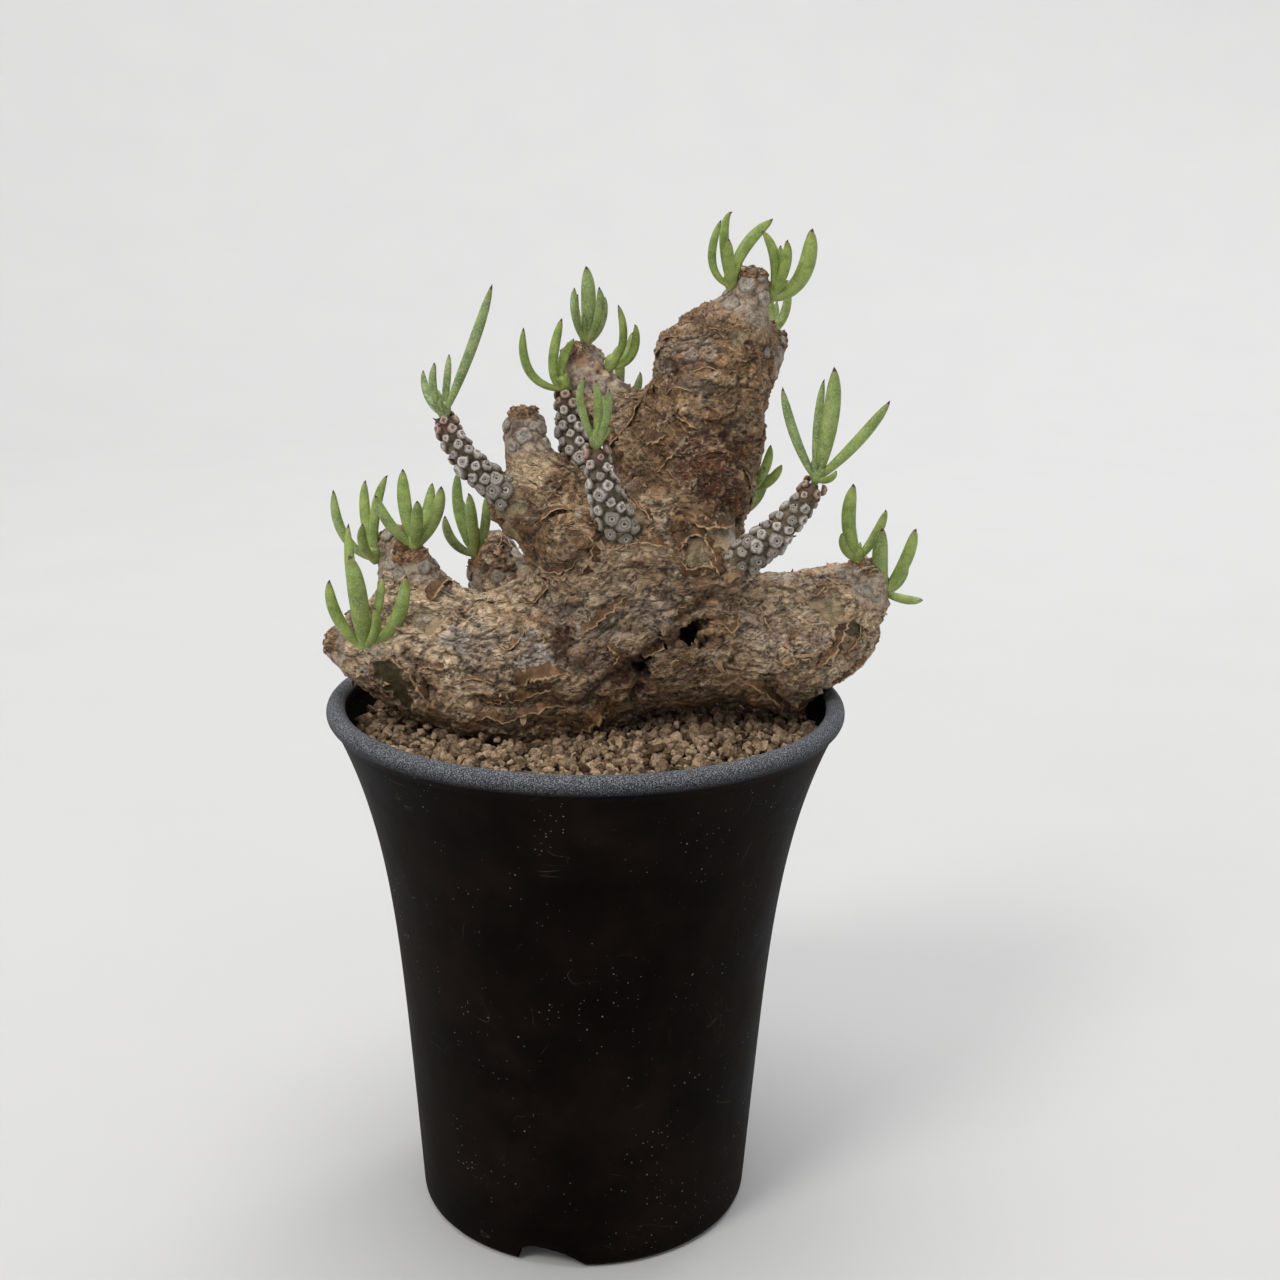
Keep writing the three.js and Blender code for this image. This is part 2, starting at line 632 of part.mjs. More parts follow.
// Knobbly shoots: short stems set all round with the knobs that old leaves stood on
const SHOOTS = {
  shoot_left: {
    path: [[-18, -4, 54.5], [-22, -5, 58.5], [-26, -7, 62.5], [-29.5, -8, 68], [-31.3, -8, 72.5]],
    from: 3.1,
    to: 2.2,
  },
  shoot_middle: {
    path: [[0, 6, 57], [-3, 7, 63], [-4.6, 8, 70], [-5.6, 8, 76.5]],
    from: 3.6,
    to: 2.3,
  },
  shoot_front: {
    path: [[7.5, -10, 48], [5, -13, 55], [2.9, -15, 61.5], [2.2, -15, 67.2]],
    from: 4.2,
    to: 2.3,
  },
  shoot_right: {
    path: [[33, -6, 40], [40, -10, 46.5], [44, -11, 51], [47.5, -12, 55.5], [49.8, -12, 59.8]],
    from: 3.9,
    to: 2.3,
  },
  shoot_back: {
    path: [[10, 18, 52], [9, 23, 57], [6.5, 27, 62], [5.5, 28.5, 68]],
    from: 3.8,
    to: 2.3,
  },
};
const KNOB_PITCH = 1.8;
const KNOB_HEIGHT = 1.2;
const KNOBS_AROUND = 5;
const TAPER_LENGTH = 0.83;
const ROOM_STEPS = 5;

function shootRadius({ from, to }, t) {
  return from + (to - from) * Math.min(t / TAPER_LENGTH, 1);
}

// Every second corner of the tube stands out, and the next ring is turned by one corner
function makeShoot(shoot, room) {
  const curve = new THREE.CatmullRomCurve3(shoot.path.map(vector));
  const steps = 2 * Math.round(curve.getLength() / KNOB_PITCH / 2);
  const relief = (ring, side) => ((ring + side) % 2 === 0 && ring < steps ? KNOB_HEIGHT : 0);
  const radiusAt = (t, side) => shootRadius(shoot, t) + relief(Math.round(t * steps), side);
  const body = solid(taperedTube(curve, radiusAt, 2 * KNOBS_AROUND, evenStations(steps)));
  return mainBody(body.subtract(room));
}

function makeShootRoom(shoot) {
  const curve = pathThrough(shoot.path, GAP);
  const radiusAt = (t) => shootRadius(shoot, t) + 2 * GAP + (t < 1 ? KNOB_HEIGHT : 0);
  return solid(taperedTube(curve, radiusAt, 2 * KNOBS_AROUND, evenStations(ROOM_STEPS)));
}

// Tufts: plump spindle leaves round a small bud. The seat is the bud's place; each leaf is
// [its tip from the seat, how far its middle bows aside, its width].
const TUFTS = {
  leaves_shoot_left: {
    seat: [-31.3, -8, 73],
    leaves: [
      [[11, -3, 28], [0.6, 0, 0], 2.4],
      [[-1.6, -2, 11], [-1.2, 0, 0], 1.8],
      [[1, 3, 12.5], [0, 0, 0], 1.7],
      [[-5, 5, 8.5], [-1, 0.5, -1], 1.8],
    ],
  },
  leaves_shoot_middle: {
    seat: [-5.8, 8, 77.2],
    leaves: [
      [[-9, -3, 13.5], [-3, 0, -3], 2.1],
      [[-0.7, -1, 15.5], [-2.2, 0, -3], 2.3],
      [[2, 2, 11], [-1.6, 0, 0], 2.1],
    ],
  },
  leaves_branch_top: {
    seat: [-1.1, 15, 87],
    leaves: [
      [[0, -1, 17], [0.5, 0, 0], 3.5],
      [[-2, -5, 11], [-1.2, 0, 0], 1.8],
      [[3, -4, 12.5], [1.4, 0, 0], 2.3],
      [[-3, 5, 12], [-1, 1, 0], 2.2],
      [[4, 5, 10], [1, 1, -1], 2.2],
    ],
  },
  leaves_branch_side: {
    seat: [4.2, 13, 81.8],
    leaves: [
      [[2.2, -3, 13.8], [2, 0, -1], 1.9],
      [[6, 1, 9.5], [2, 0, -2], 2.1],
      [[5, 6, 7], [1, 0, -1.5], 2],
    ],
  },
  leaves_shoot_front: {
    seat: [2.2, -15, 67.8],
    leaves: [
      [[-2.5, -4, 14.6], [-2, 0, 1.6], 1.8],
      [[0, 0, 13.4], [0.4, 0, 0], 2.1],
      [[1.2, 5, 9.8], [0.3, 0.4, 0], 1.6],
      [[2.8, -6, 12.4], [0.8, 0, 0], 1.8],
    ],
  },
  leaves_crown_left: {
    seat: [31, 4.5, 100.8],
    leaves: [
      [[-2.6, -3, 14], [-2.8, 0, -1.8], 1.9],
      [[-0.4, 0, 15.8], [-1.4, 0, 2.6], 2.2],
      [[-0.9, -7, 10], [0, -0.5, -0.5], 2.3],
      [[9, 5, 14.2], [-1.6, 0.4, 0.8], 2.8],
    ],
  },
  leaves_crown_right: {
    seat: [40.5, 8, 98.2],
    leaves: [
      [[-2.3, -3, 14.2], [1.6, -0.4, 0.8], 2.4],
      [[2.6, -5, 12.6], [1.2, -0.5, 0.6], 2.5],
      [[8.4, 0, 14.6], [2.2, 0, -2.8], 3.8],
      [[2, 5, 11], [0.8, 1, -0.6], 2.2],
    ],
  },
  leaves_crown_back: {
    seat: [42, 16, 90.5],
    leaves: [
      [[-1.6, 5, 11], [0, 1.4, -1], 2.2],
      [[3.5, 6, 9], [0.8, 1.2, -1], 2.2],
      [[1, 9, 5.5], [0, 0.6, -1.6], 2],
    ],
  },
  leaves_trunk_side: {
    seat: [37.2, 12, 54.5],
    leaves: [
      [[2.2, 0.5, 16.2], [0.4, 0, 2], 3.3],
      [[3, -4, 5.4], [0, -0.4, -0.6], 2.6],
      [[7, -2, 5.6], [0.4, 0, -1.3], 2.3],
      [[5, 6, 9], [1, 1, -1], 2.4],
    ],
  },
  leaves_shoot_right: {
    seat: [50, -12, 60.6],
    leaves: [
      [[-8.2, -3, 19.8], [-0.8, 0, -0.6], 2.2],
      [[1.2, 4, 21], [-0.5, 0.4, 0], 2],
      [[2.8, -2, 24.2], [1, 0, 0.6], 3.7],
      [[14.4, -4, 17.4], [0.6, 0, -0.6], 2.6],
      [[3.6, -5, 2.4], [0.4, -0.6, -0.6], 1.7],
    ],
  },
  leaves_lobe_top: {
    seat: [62.4, 7.5, 38.8],
    leaves: [
      [[-1.6, 0, 17.2], [-1.5, 0, -0.2], 3.4],
      [[-4.4, -5, 7], [-1, -0.4, -0.5], 1.9],
      [[6.6, 3, 11], [0.8, 0.4, -0.4], 2.4],
      [[-1, 8, 9], [0, 1.2, -0.6], 2.4],
    ],
  },
  leaves_lobe_end: {
    seat: [69.2, 8, 31],
    leaves: [
      [[-1.6, -3, 15.2], [-0.8, -0.4, 0], 3.7],
      [[6.4, 0, 14.8], [1, 0, -0.6], 3.1],
      [[8, -5, -0.4], [0.4, -0.6, -0.6], 2.3],
      [[6, 6, 5], [0.8, 1, -1], 2.2],
    ],
  },
  leaves_left_end: {
    seat: [-50, -9.5, 20.2],
    leaves: [
      [[-7, -2, 16], [-2, 0, -0.5], 2.8],
      [[-4, 7, 27], [-0.8, -0.4, 1.4], 2.5],
      [[-2, -3, 22], [0.4, -0.6, 1.4], 4.3],
      [[4.2, 2, 16], [1, -0.6, 1], 2.1],
      [[3.6, -6, 11], [1.5, -0.6, 0], 2.3],
      [[9.8, 0, 17], [2.2, -0.8, -2.4], 3.2],
    ],
  },
  leaves_left_branch: {
    seat: [-49.6, 6, 37.5],
    leaves: [
      [[-9, 0, 15.8], [-2.4, 0, -2.2], 2.4],
      [[-2.6, 5, 17.5], [-1, 0.4, 0.6], 2.6],
      [[-1.6, -6, 9], [-1, -0.4, -0.6], 2.4],
      [[3, 1, 19.4], [-1.2, 0, 1], 2.4],
    ],
  },
  leaves_left_middle: {
    seat: [-40.1, 4, 41],
    leaves: [
      [[-8, -3, 12.4], [-1.2, -0.4, -0.4], 2.6],
      [[-2.6, 3, 17.4], [-0.8, 0, 0.6], 3.2],
      [[1.8, -6, 11.6], [0.3, -0.6, 0.2], 2.9],
      [[6.8, -3, 14.2], [1.3, 0, -0.4], 3.2],
      [[3.4, 7, 13.2], [0.6, 0.8, 0], 2.7],
    ],
  },
  leaves_stem_behind: {
    seat: [-27.6, 21, 35.8],
    leaves: [
      [[-7, -3, 9.4], [-1.6, 0, -1.4], 2.4],
      [[-4.4, 2, 19.4], [-1.6, 0, -0.6], 2.8],
      [[-1, -4, 15.4], [0, -0.6, 0], 2.8],
      [[2.6, -1, 14.4], [0.9, 0, -0.4], 2.4],
      [[-4, 7, 12], [-0.6, 1, -0.6], 2.5],
    ],
  },
  leaves_shoot_back: {
    seat: [5.4, 28.7, 68.8],
    leaves: [
      [[-4, 5, 13], [-1.2, 0.8, 0], 2.2],
      [[1, 2, 16], [0.4, 0, 0], 2.6],
      [[6, 5, 10], [1.2, 0.6, -1], 2.2],
      [[1, 9, 9], [0, 1.2, -1], 2.2],
    ],
  },
  leaves_lobe_behind: {
    seat: [34.8, 34.2, 43.8],
    leaves: [
      [[-4, -2, 14], [-1.2, 0, 0], 2.6],
      [[2, 3, 17], [0.6, 0.4, 0], 3],
      [[8, 3, 10], [1.4, 0.4, -1.4], 2.6],
      [[0, 8, 10], [0, 1.4, -1], 2.4],
      [[5, -4, 8], [0.8, -0.6, -0.8], 2.2],
    ],
  },
};
const BUD_RADIUS = 2.5;
const LEAF_SIDES = 5;
const LEAF_OUTLINE = [[0, 0.4], [0.3, 0.9], [0.62, 1], [0.86, 0.72], [1, 0.3]];
const LEAF_TIP_RADIUS = 0.3;

function makeLeaf(seat, [tip, bow, wide]) {
  const start = vector(seat);
  const end = start.clone().add(vector(tip));
  const middle = start.clone().lerp(end, 0.5).addScaledVector(vector(bow), 2);
  const curve = new THREE.QuadraticBezierCurve3(start, middle, end);
  const radiusAt = (t) => {
    const share = LEAF_OUTLINE.find(([place]) => place === t)[1];
    return Math.max((wide / 2) * share, LEAF_TIP_RADIUS);
  };
  return solid(taperedTube(curve, radiusAt, LEAF_SIDES, LEAF_OUTLINE.map(([place]) => place)));
}

function makeTuft({ seat, leaves }, room) {
  const bud = solid(new THREE.IcosahedronGeometry(BUD_RADIUS).translate(...seat));
  const blades = leaves.map((leaf) => makeLeaf(seat, leaf));
  return mainBody(join([bud, ...blades]).subtract(room));
}

// The whole potted plant
const pottedPlant = new THREE.Group();
pottedPlant.position.set(-OUTLINE_MIDDLE[0], -OUTLINE_MIDDLE[1], 0);
pottedPlant.add(piece('pot', makePot(), blackPlastic));

const planting = new THREE.Group();
planting.position.z = SOIL_LEVEL;
pottedPlant.add(planting);

const caudexRoom = makeCaudexRoom();
planting.add(piece('soil', makeSoil(caudexRoom), brownGrit));
planting.add(piece('caudex', makeCaudex(), bark));
Object.entries(SHOOTS).forEach(([name, shoot]) => {
  planting.add(piece(name, makeShoot(shoot, caudexRoom), shootBark, shoot.path[0]));
});
const plantRoom = join([caudexRoom, ...Object.values(SHOOTS).map(makeShootRoom)]);
Object.entries(TUFTS).forEach(([name, tuft]) => {
  planting.add(piece(name, makeTuft(tuft, plantRoom), leafGreen, tuft.seat));
});

const model = new THREE.Group();
model.add(pottedPlant);
export default model;
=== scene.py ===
import math

import bmesh
import bpy
import numpy as np
from mathutils import Matrix, Vector
from mathutils.bvhtree import BVHTree


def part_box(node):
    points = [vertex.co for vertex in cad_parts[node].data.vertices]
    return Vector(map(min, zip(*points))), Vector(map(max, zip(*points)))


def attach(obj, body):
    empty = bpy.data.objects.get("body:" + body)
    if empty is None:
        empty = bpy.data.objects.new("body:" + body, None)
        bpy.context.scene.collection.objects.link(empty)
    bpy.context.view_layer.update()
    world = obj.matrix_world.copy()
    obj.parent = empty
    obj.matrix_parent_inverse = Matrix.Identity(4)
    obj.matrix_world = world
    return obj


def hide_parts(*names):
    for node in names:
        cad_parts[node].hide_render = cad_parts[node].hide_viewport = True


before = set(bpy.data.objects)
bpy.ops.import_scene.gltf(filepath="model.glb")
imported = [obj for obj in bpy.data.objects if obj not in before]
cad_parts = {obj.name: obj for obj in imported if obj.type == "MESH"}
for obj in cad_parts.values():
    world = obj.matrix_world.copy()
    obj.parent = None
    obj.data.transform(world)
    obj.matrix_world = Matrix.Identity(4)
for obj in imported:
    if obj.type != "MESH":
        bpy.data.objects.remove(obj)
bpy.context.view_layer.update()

# A tylecodon in a flared black pot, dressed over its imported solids. Metres, +Z up. Sizes are
# written in millimetres times MM. The plant's own frame has its origin on the pot's axis at the
# level of the soil.
MM = 0.001

# The pot, measured from its solid where that shows it
pot_low, pot_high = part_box("pot")
POT_AXIS = Vector(((pot_low.x + pot_high.x) / 2, 0, 0))
RIM_RADIUS = (pot_high.y - pot_low.y) / 2
POT_HEIGHT = pot_high.z
ROLL_RADIUS = 2.25 * MM
FOOT_RADIUS = 39.7 * MM
FOOT_ROUNDING = 2 * MM
FOOT_RING_WIDTH = 4.4 * MM
WALL_THICKNESS = 1.6 * MM
WALL_LEAN = 0.07
FLARE_OUT = 10 * MM
FLARE_POWER = 4.8
FLOOR_UNDERSIDE = 6 * MM
FLOOR_TOP = 7.8 * MM
DRAIN_RADIUS = 9 * MM
NOTCH_ANGLES = (-98.5, 21.5, 141.5)
NOTCH_WIDTH = 16.8 * MM
NOTCH_HEIGHT = 5 * MM
WALL_STEPS = 168
WALL_DENT = 0.12 * MM
SOIL_LEVEL = 118 * MM

# The camera, at the place and angle that the photograph was taken from
CAMERA_PLACE = POT_AXIS + Vector((12.2, -366.3, 236)) * MM
CAMERA_PITCH = math.radians(14.86)
CAMERA_ROLL = math.radians(-0.815)
CAMERA_LENS = 46.125
CAMERA_SENSOR = 36
PHOTO_SIDE = 1280


def plant(point):
    """A point of the plant's own frame, in millimetres, as a place in the scene."""
    return POT_AXIS + Vector((0, 0, SOIL_LEVEL)) + Vector(point) * MM


# Short calls for nodes, shared by the finishes and the geometry trees
class Nodes:
    def __init__(self, tree):
        self.tree = tree

    def add(self, kind, inputs=None, **settings):
        """Adds a node and returns its first output that is in use."""
        node = self.tree.nodes.new(kind)
        for name, value in settings.items():
            setattr(node, name, value)
        for key, value in (inputs or {}).items():
            found = [s for s in node.inputs if s.name == key and s.enabled]
            socket = node.inputs[key] if isinstance(key, int) else found[0]
            if isinstance(value, bpy.types.NodeSocket):
                self.tree.links.new(value, socket)
            else:
                socket.default_value = value
        outputs = [s for s in node.outputs if s.enabled]
        return outputs[0] if outputs else None

    def math(self, operation, first, second=0.0, third=0.0):
        inputs = {0: first, 1: second, 2: third}
        return self.add("ShaderNodeMath", inputs, operation=operation)

    def times(self, first, second, plus=None):
        """The first times the second, plus a third value where one is given."""
        if plus is None:
            return self.math("MULTIPLY", first, second)
        return self.math("MULTIPLY_ADD", first, second, plus)

    def minus(self, first, second):
        return self.math("SUBTRACT", first, second)

    def most(self, first, *others):
        for other in others:
            first = self.math("MAXIMUM", first, other)
        return first

    def total(self, *terms):
        """The sum of values, each times its weight."""
        done = self.times(*terms[0])
        for value, weight in terms[1:]:
            done = self.times(value, weight, done)
        return done

    def vector(self, operation, first, second):
        return self.add("ShaderNodeVectorMath", {0: first, 1: second}, operation=operation)

    def scaled(self, vector, share):
        return self.add("ShaderNodeVectorMath", {0: vector, 3: share}, operation="SCALE")

    def ramp(self, value, low, high, to_low=0.0, to_high=1.0):
        """Turns low..high into to_low..to_high, eased at both ends and clamped."""
        inputs = {"Value": value, "From Min": low, "From Max": high}
        inputs.update({"To Min": to_low, "To Max": to_high})
        return self.add("ShaderNodeMapRange", inputs, interpolation_type="SMOOTHSTEP")

    def fall(self, value, low, high):
        """1 up to low and 0 from high on, eased between them."""
        return self.ramp(value, low, high, 1.0, 0.0)

    def noise(self, place, pitch, detail=2.0, roughness=0.5, bend=0.0):
        inputs = {"Vector": place, "Scale": 1 / pitch, "Detail": detail}
        inputs.update({"Roughness": roughness, "Distortion": bend})
        return self.add("ShaderNodeTexNoise", inputs)

    def cells(self, place, pitch, feature="F1"):
        inputs = {"Vector": place, "Scale": 1 / pitch}
        return self.add("ShaderNodeTexVoronoi", inputs, feature=feature)

    def blend(self, share, first, second):
        """Mixes two colours, each linked or given as its red, green and blue."""
        pair = [(*c, 1.0) if isinstance(c, tuple) else c for c in (first, second)]
        return self.add("ShaderNodeMix", {0: share, "A": pair[0], "B": pair[1]}, data_type="RGBA")

    def scales(self, place, pitch):
        """Overlapping scales about a pitch wide, each at a level and a lean of its own.

        Returns their height, their tone, their lifted edge and the gap at their low edge, where the
        bark's finish paints shade.
        """
        spread = self.scaled(place, 1 / pitch)
        cell = self.add("ShaderNodeTexVoronoi", {"Vector": spread, "Scale": 1.0}).node.outputs
        border = self.cells(place, pitch, "DISTANCE_TO_EDGE")
        lean = self.vector("SUBTRACT", cell["Color"], (0.5, 0.5, 0.5))
        offset = self.vector("SUBTRACT", spread, cell["Position"])
        slope = self.vector("DOT_PRODUCT", offset, lean)
        tone = self.add("ShaderNodeSeparateXYZ", {0: cell["Color"]})
        height = self.times(slope, 2.4, self.times(tone, 0.7))
        lifted = self.times(self.fall(border, 0.0, 0.15), self.ramp(slope, 0.0, 0.13))
        gap = self.times(self.fall(border, 0.0, 0.09), self.fall(slope, -0.1, 0.02))
        return height, tone, lifted, gap

    def drift(self, place, pitch, detail=2.0, roughness=0.5):
        """A vector that wanders about zero from place to place."""
        cloud = self.noise(place, pitch, detail, roughness).node.outputs["Color"]
        return self.vector("SUBTRACT", cloud, (0.5, 0.5, 0.5))

    def warped(self, place, pitch, reach):
        return self.vector("ADD", place, self.scaled(self.drift(place, pitch), 2 * reach))


class Finish(Nodes):
    """A procedural finish: a material whose pattern is in the object's own coordinates."""

    def __init__(self, name):
        self.material = bpy.data.materials.new(name)
        self.material.use_nodes = True
        super().__init__(self.material.node_tree)
        self.shader = self.tree.nodes["Principled BSDF"]
        self.place = self.tree.nodes.new("ShaderNodeTexCoord").outputs["Object"]

    def stored(self, name):
        """The value that the mesh keeps under a name."""
        node = self.tree.nodes.new("ShaderNodeAttribute")
        node.attribute_name = name
        return node.outputs["Fac"]

    def patch(self, colour, name, strength, coat):
        """The colour under a coat that lies as far as the mesh's value of that name goes."""
        return self.blend(self.times(self.stored(name), strength), colour, coat)

    def bump(self, height, distance, under=None, strength=1.0):
        inputs = {"Height": height, "Distance": distance, "Strength": strength}
        if under:
            inputs["Normal"] = under
        return self.add("ShaderNodeBump", inputs)

    def dress(self, **sockets):
        """Sets or links the shader's own sockets, and returns the material."""
        for name, value in sockets.items():
            socket = self.shader.inputs[name.replace("_", " ")]
            if isinstance(value, bpy.types.NodeSocket):
                self.tree.links.new(value, socket)
            else:
                socket.default_value = value
        return self.material


class Tree(Nodes):
    """A Geometry Nodes tree with named inputs, ending in Realize Instances and Set Material."""

    KINDS = {
        float: "NodeSocketFloat",
        int: "NodeSocketInt",
        bpy.types.Object: "NodeSocketObject",
        bpy.types.Collection: "NodeSocketCollection",
        bpy.types.Material: "NodeSocketMaterial",
    }

    def __init__(self, name, values):
        super().__init__(bpy.data.node_groups.new(name, "GeometryNodeTree"))
        self.values = values
        face = self.tree.interface
        face.new_socket("Geometry", in_out="INPUT", socket_type="NodeSocketGeometry")
        face.new_socket("Geometry", in_out="OUTPUT", socket_type="NodeSocketGeometry")
        for label, value in values.items():
            face.new_socket(label, in_out="INPUT", socket_type=self.KINDS[type(value)])
        self.inputs = self.tree.nodes.new("NodeGroupInput").outputs

    def stored(self, name, kind="FLOAT"):
        return self.add("GeometryNodeInputNamedAttribute", {"Name": name}, data_type=kind)

    def store(self, geometry, name, value, kind="FLOAT"):
        inputs = {"Geometry": geometry, "Name": name, "Value": value}
        return self.add("GeometryNodeStoreNamedAttribute", inputs, data_type=kind, domain="POINT")

    def random(self, low, high, seed, kind="FLOAT"):
        inputs = {"Min": low, "Max": high, "Seed": seed}
        return self.add("FunctionNodeRandomValue", inputs, data_type=kind)

    def joined(self, *parts):
        node = self.tree.nodes.new("GeometryNodeJoinGeometry")
        for part in reversed(parts):
            self.tree.links.new(part, node.inputs[0])
        return node.outputs[0]

    def upright(self, way):
        """The turn that takes a shape's own Z to a way."""
        return self.add("FunctionNodeAlignRotationToVector", {"Vector": way}, axis="Z")

    def turned(self, first, angle, axis=(0, 0, 1)):
        """A turn followed by another about one of the shape's own axes."""
        second = self.add("FunctionNodeAxisAngleToRotation", {"Axis": axis, "Angle": angle})
        inputs = {"Rotation": first, "Rotate By": second}
        return self.add("FunctionNodeRotateRotation", inputs, rotation_space="LOCAL")

    def moved(self, geometry, offset):
        return self.add("GeometryNodeSetPosition", {"Geometry": geometry, "Offset": offset})

    def set_out(self, points, shapes, which, turn, scale):
        """Puts one of a collection's shapes on each point."""
        picked = self.add("GeometryNodeCollectionInfo", {0: shapes, 1: True, 2: True})
        inputs = {"Points": points, "Instance": picked, "Pick Instance": True}
        inputs.update({"Instance Index": which, "Rotation": turn, "Scale": scale})
        return self.add("GeometryNodeInstanceOnPoints", inputs)

    def sweep(self, line, section, scale):
        """Draws a section along a line and closes both ends."""
        swept = {"Curve": line, "Profile Curve": section, "Scale": scale, "Fill Caps": True}
        return self.add("GeometryNodeCurveToMesh", swept)

    def end(self, geometry, rounded=True):
        solid = self.add("GeometryNodeRealizeInstances", {0: geometry})
        smooth = self.add("GeometryNodeSetShadeSmooth", {0: solid, "Shade Smooth": rounded})
        done = self.add("GeometryNodeSetMaterial", {0: smooth, "Material": self.inputs["Finish"]})
        self.add("NodeGroupOutput", {0: done})

    def grow_on(self, subject, name, changes=None):
        """Runs the tree on an object and returns its result as a plain mesh object."""
        modifier = subject.modifiers.new(name, "NODES")
        modifier.node_group = self.tree
        values = {**self.values, **(changes or {})}
        for item in self.tree.interface.items_tree:
            if item.in_out == "INPUT" and item.name in values:
                modifier[item.identifier] = values[item.name]
        result = frozen(subject, name)
        subject.modifiers.remove(modifier)
        return result


# Meshes
def in_scene(name, data):
    result = bpy.data.objects.new(name, data)
    bpy.context.scene.collection.objects.link(result)
    return result


def frozen(subject, name):
    """A new plain mesh object with what the object's modifiers make of it."""
    graph = bpy.context.evaluated_depsgraph_get()
    graph.update()
    source = subject.evaluated_get(graph)
    mesh = bpy.data.meshes.new_from_object(source, preserve_all_data_layers=True, depsgraph=graph)
    mesh.name = name
    return in_scene(name, mesh)


def mesh_object(name, points, faces, **values):
    """A mesh object from points and faces, with a value kept for each point under each name."""
    mesh = bpy.data.meshes.new(name)
    mesh.from_pydata([tuple(p) for p in points], [], faces)
    for label, data in values.items():
        keep(mesh, label, data)
    mesh.polygons.foreach_set("use_smooth", [True] * len(mesh.polygons))
    return in_scene(name, mesh)


def line_object(name, lines, **values):
    """A mesh of lines. A value is given once a line, for all of its points, or once a point."""
    mesh = bpy.data.meshes.new(name)
    points = [tuple(point) for line in lines for point in line]
    starts = np.cumsum([0] + [len(line) for line in lines])
    edges = [(k, k + 1) for a, b in zip(starts, starts[1:]) for k in range(a, b - 1)]
    mesh.from_pydata(points, edges, [])
    for label, data in values.items():
        data = np.asarray(data, float)
        if len(data) == len(lines):
            data = np.repeat(data, [len(line) for line in lines], axis=0)
        keep(mesh, label, data)
    return in_scene(name, mesh)


def keep(mesh, label, data):
    """Keeps a number or a vector for each point of a mesh."""
    data = np.asarray(data, np.float32)
    kind, field = ("FLOAT", "value") if data.ndim == 1 else ("FLOAT_VECTOR", "vector")
    attribute = mesh.attributes.new(label, kind, "POINT")
    attribute.data.foreach_set(field, data.ravel())


def discard(*subjects):
    for subject in subjects:
        bpy.data.objects.remove(subject)


def shelf(name, shapes):
    """A collection outside the scene, for shapes that a tree picks from."""
    collection = bpy.data.collections.new(name)
    for shape in shapes:
        bpy.context.scene.collection.objects.unlink(shape)
        collection.objects.link(shape)
    return collection


def positions(mesh):
    points = np.zeros(len(mesh.vertices) * 3, np.float32)
    mesh.vertices.foreach_get("co", points)
    return points.reshape(-1, 3).astype(float)


def norms(vectors):
    return np.linalg.norm(vectors, axis=1)


def turned_surface(name, outline, steps, axis=POT_AXIS):
    """A closed surface of revolution from a closed outline of (radius, height)."""
    points = []
    for radius, height in outline:
        for step in range(steps):
            turn = 2 * math.pi * step / steps
            offset = Vector((radius * math.cos(turn), radius * math.sin(turn), height))
            points.append(axis + offset)
    faces = []
    for ring in range(len(outline)):
        following = (ring + 1) % len(outline)
        for step in range(steps):
            beside = (step + 1) % steps
            corners = [(ring, step), (ring, beside), (following, beside), (following, step)]
            faces.append([r * steps + s for r, s in corners])
    return outward(mesh_object(name, points, faces))


def normals_of(mesh):
    normals = np.zeros(len(mesh.vertices) * 3, np.float32)
    mesh.vertex_normals.foreach_get("vector", normals)
    return normals.reshape(-1, 3)


def side_faces(side, sides, rings):
    """The faces up one side of a tube, between its corners there and the next ones round."""
    corners = [(ring * sides + side, ring * sides + (side + 1) % sides) for ring in range(rings)]
    return [[*low, *reversed(high)] for low, high in zip(corners, corners[1:])]


def outward(subject):
    """Merges a closed mesh's doubled points and turns every face outwards."""
    mesh = bmesh.new()
    mesh.from_mesh(subject.data)
    bmesh.ops.remove_doubles(mesh, verts=mesh.verts, dist=1e-7)
    bmesh.ops.dissolve_degenerate(mesh, edges=mesh.edges, dist=1e-7)
    bmesh.ops.recalc_face_normals(mesh, faces=mesh.faces)
    mesh.to_mesh(subject.data)
    mesh.free()
    return subject


def ripple(points, pitch, seed):
    """A smooth wandering value from about -1 to 1 for each point, with waves about a pitch long."""
    random = np.random.default_rng(seed)
    waves = random.normal(size=(7, 3))
    waves /= norms(waves)[:, None]
    phases = random.uniform(0, 2 * math.pi, 7)
    lengths = pitch * random.uniform(0.7, 1.5, 7)
    return np.sin(2 * math.pi * (points @ waves.T) / lengths + phases).sum(axis=1) / 3.2


def eased(values, low, high):
    """0 up to low and 1 from high on, eased between them."""
    share = np.clip((values - low) / (high - low), 0, 1)
    return share * share * (3 - 2 * share)


# Pot: black moulded plastic with a rolled rim
def wall_radius(height):
    """The outside of the wall at a height: a cone that flares out towards the rim."""
    share = height / (POT_HEIGHT - 2 * ROLL_RADIUS)
    return FOOT_RADIUS + WALL_LEAN * height + FLARE_OUT * share ** FLARE_POWER


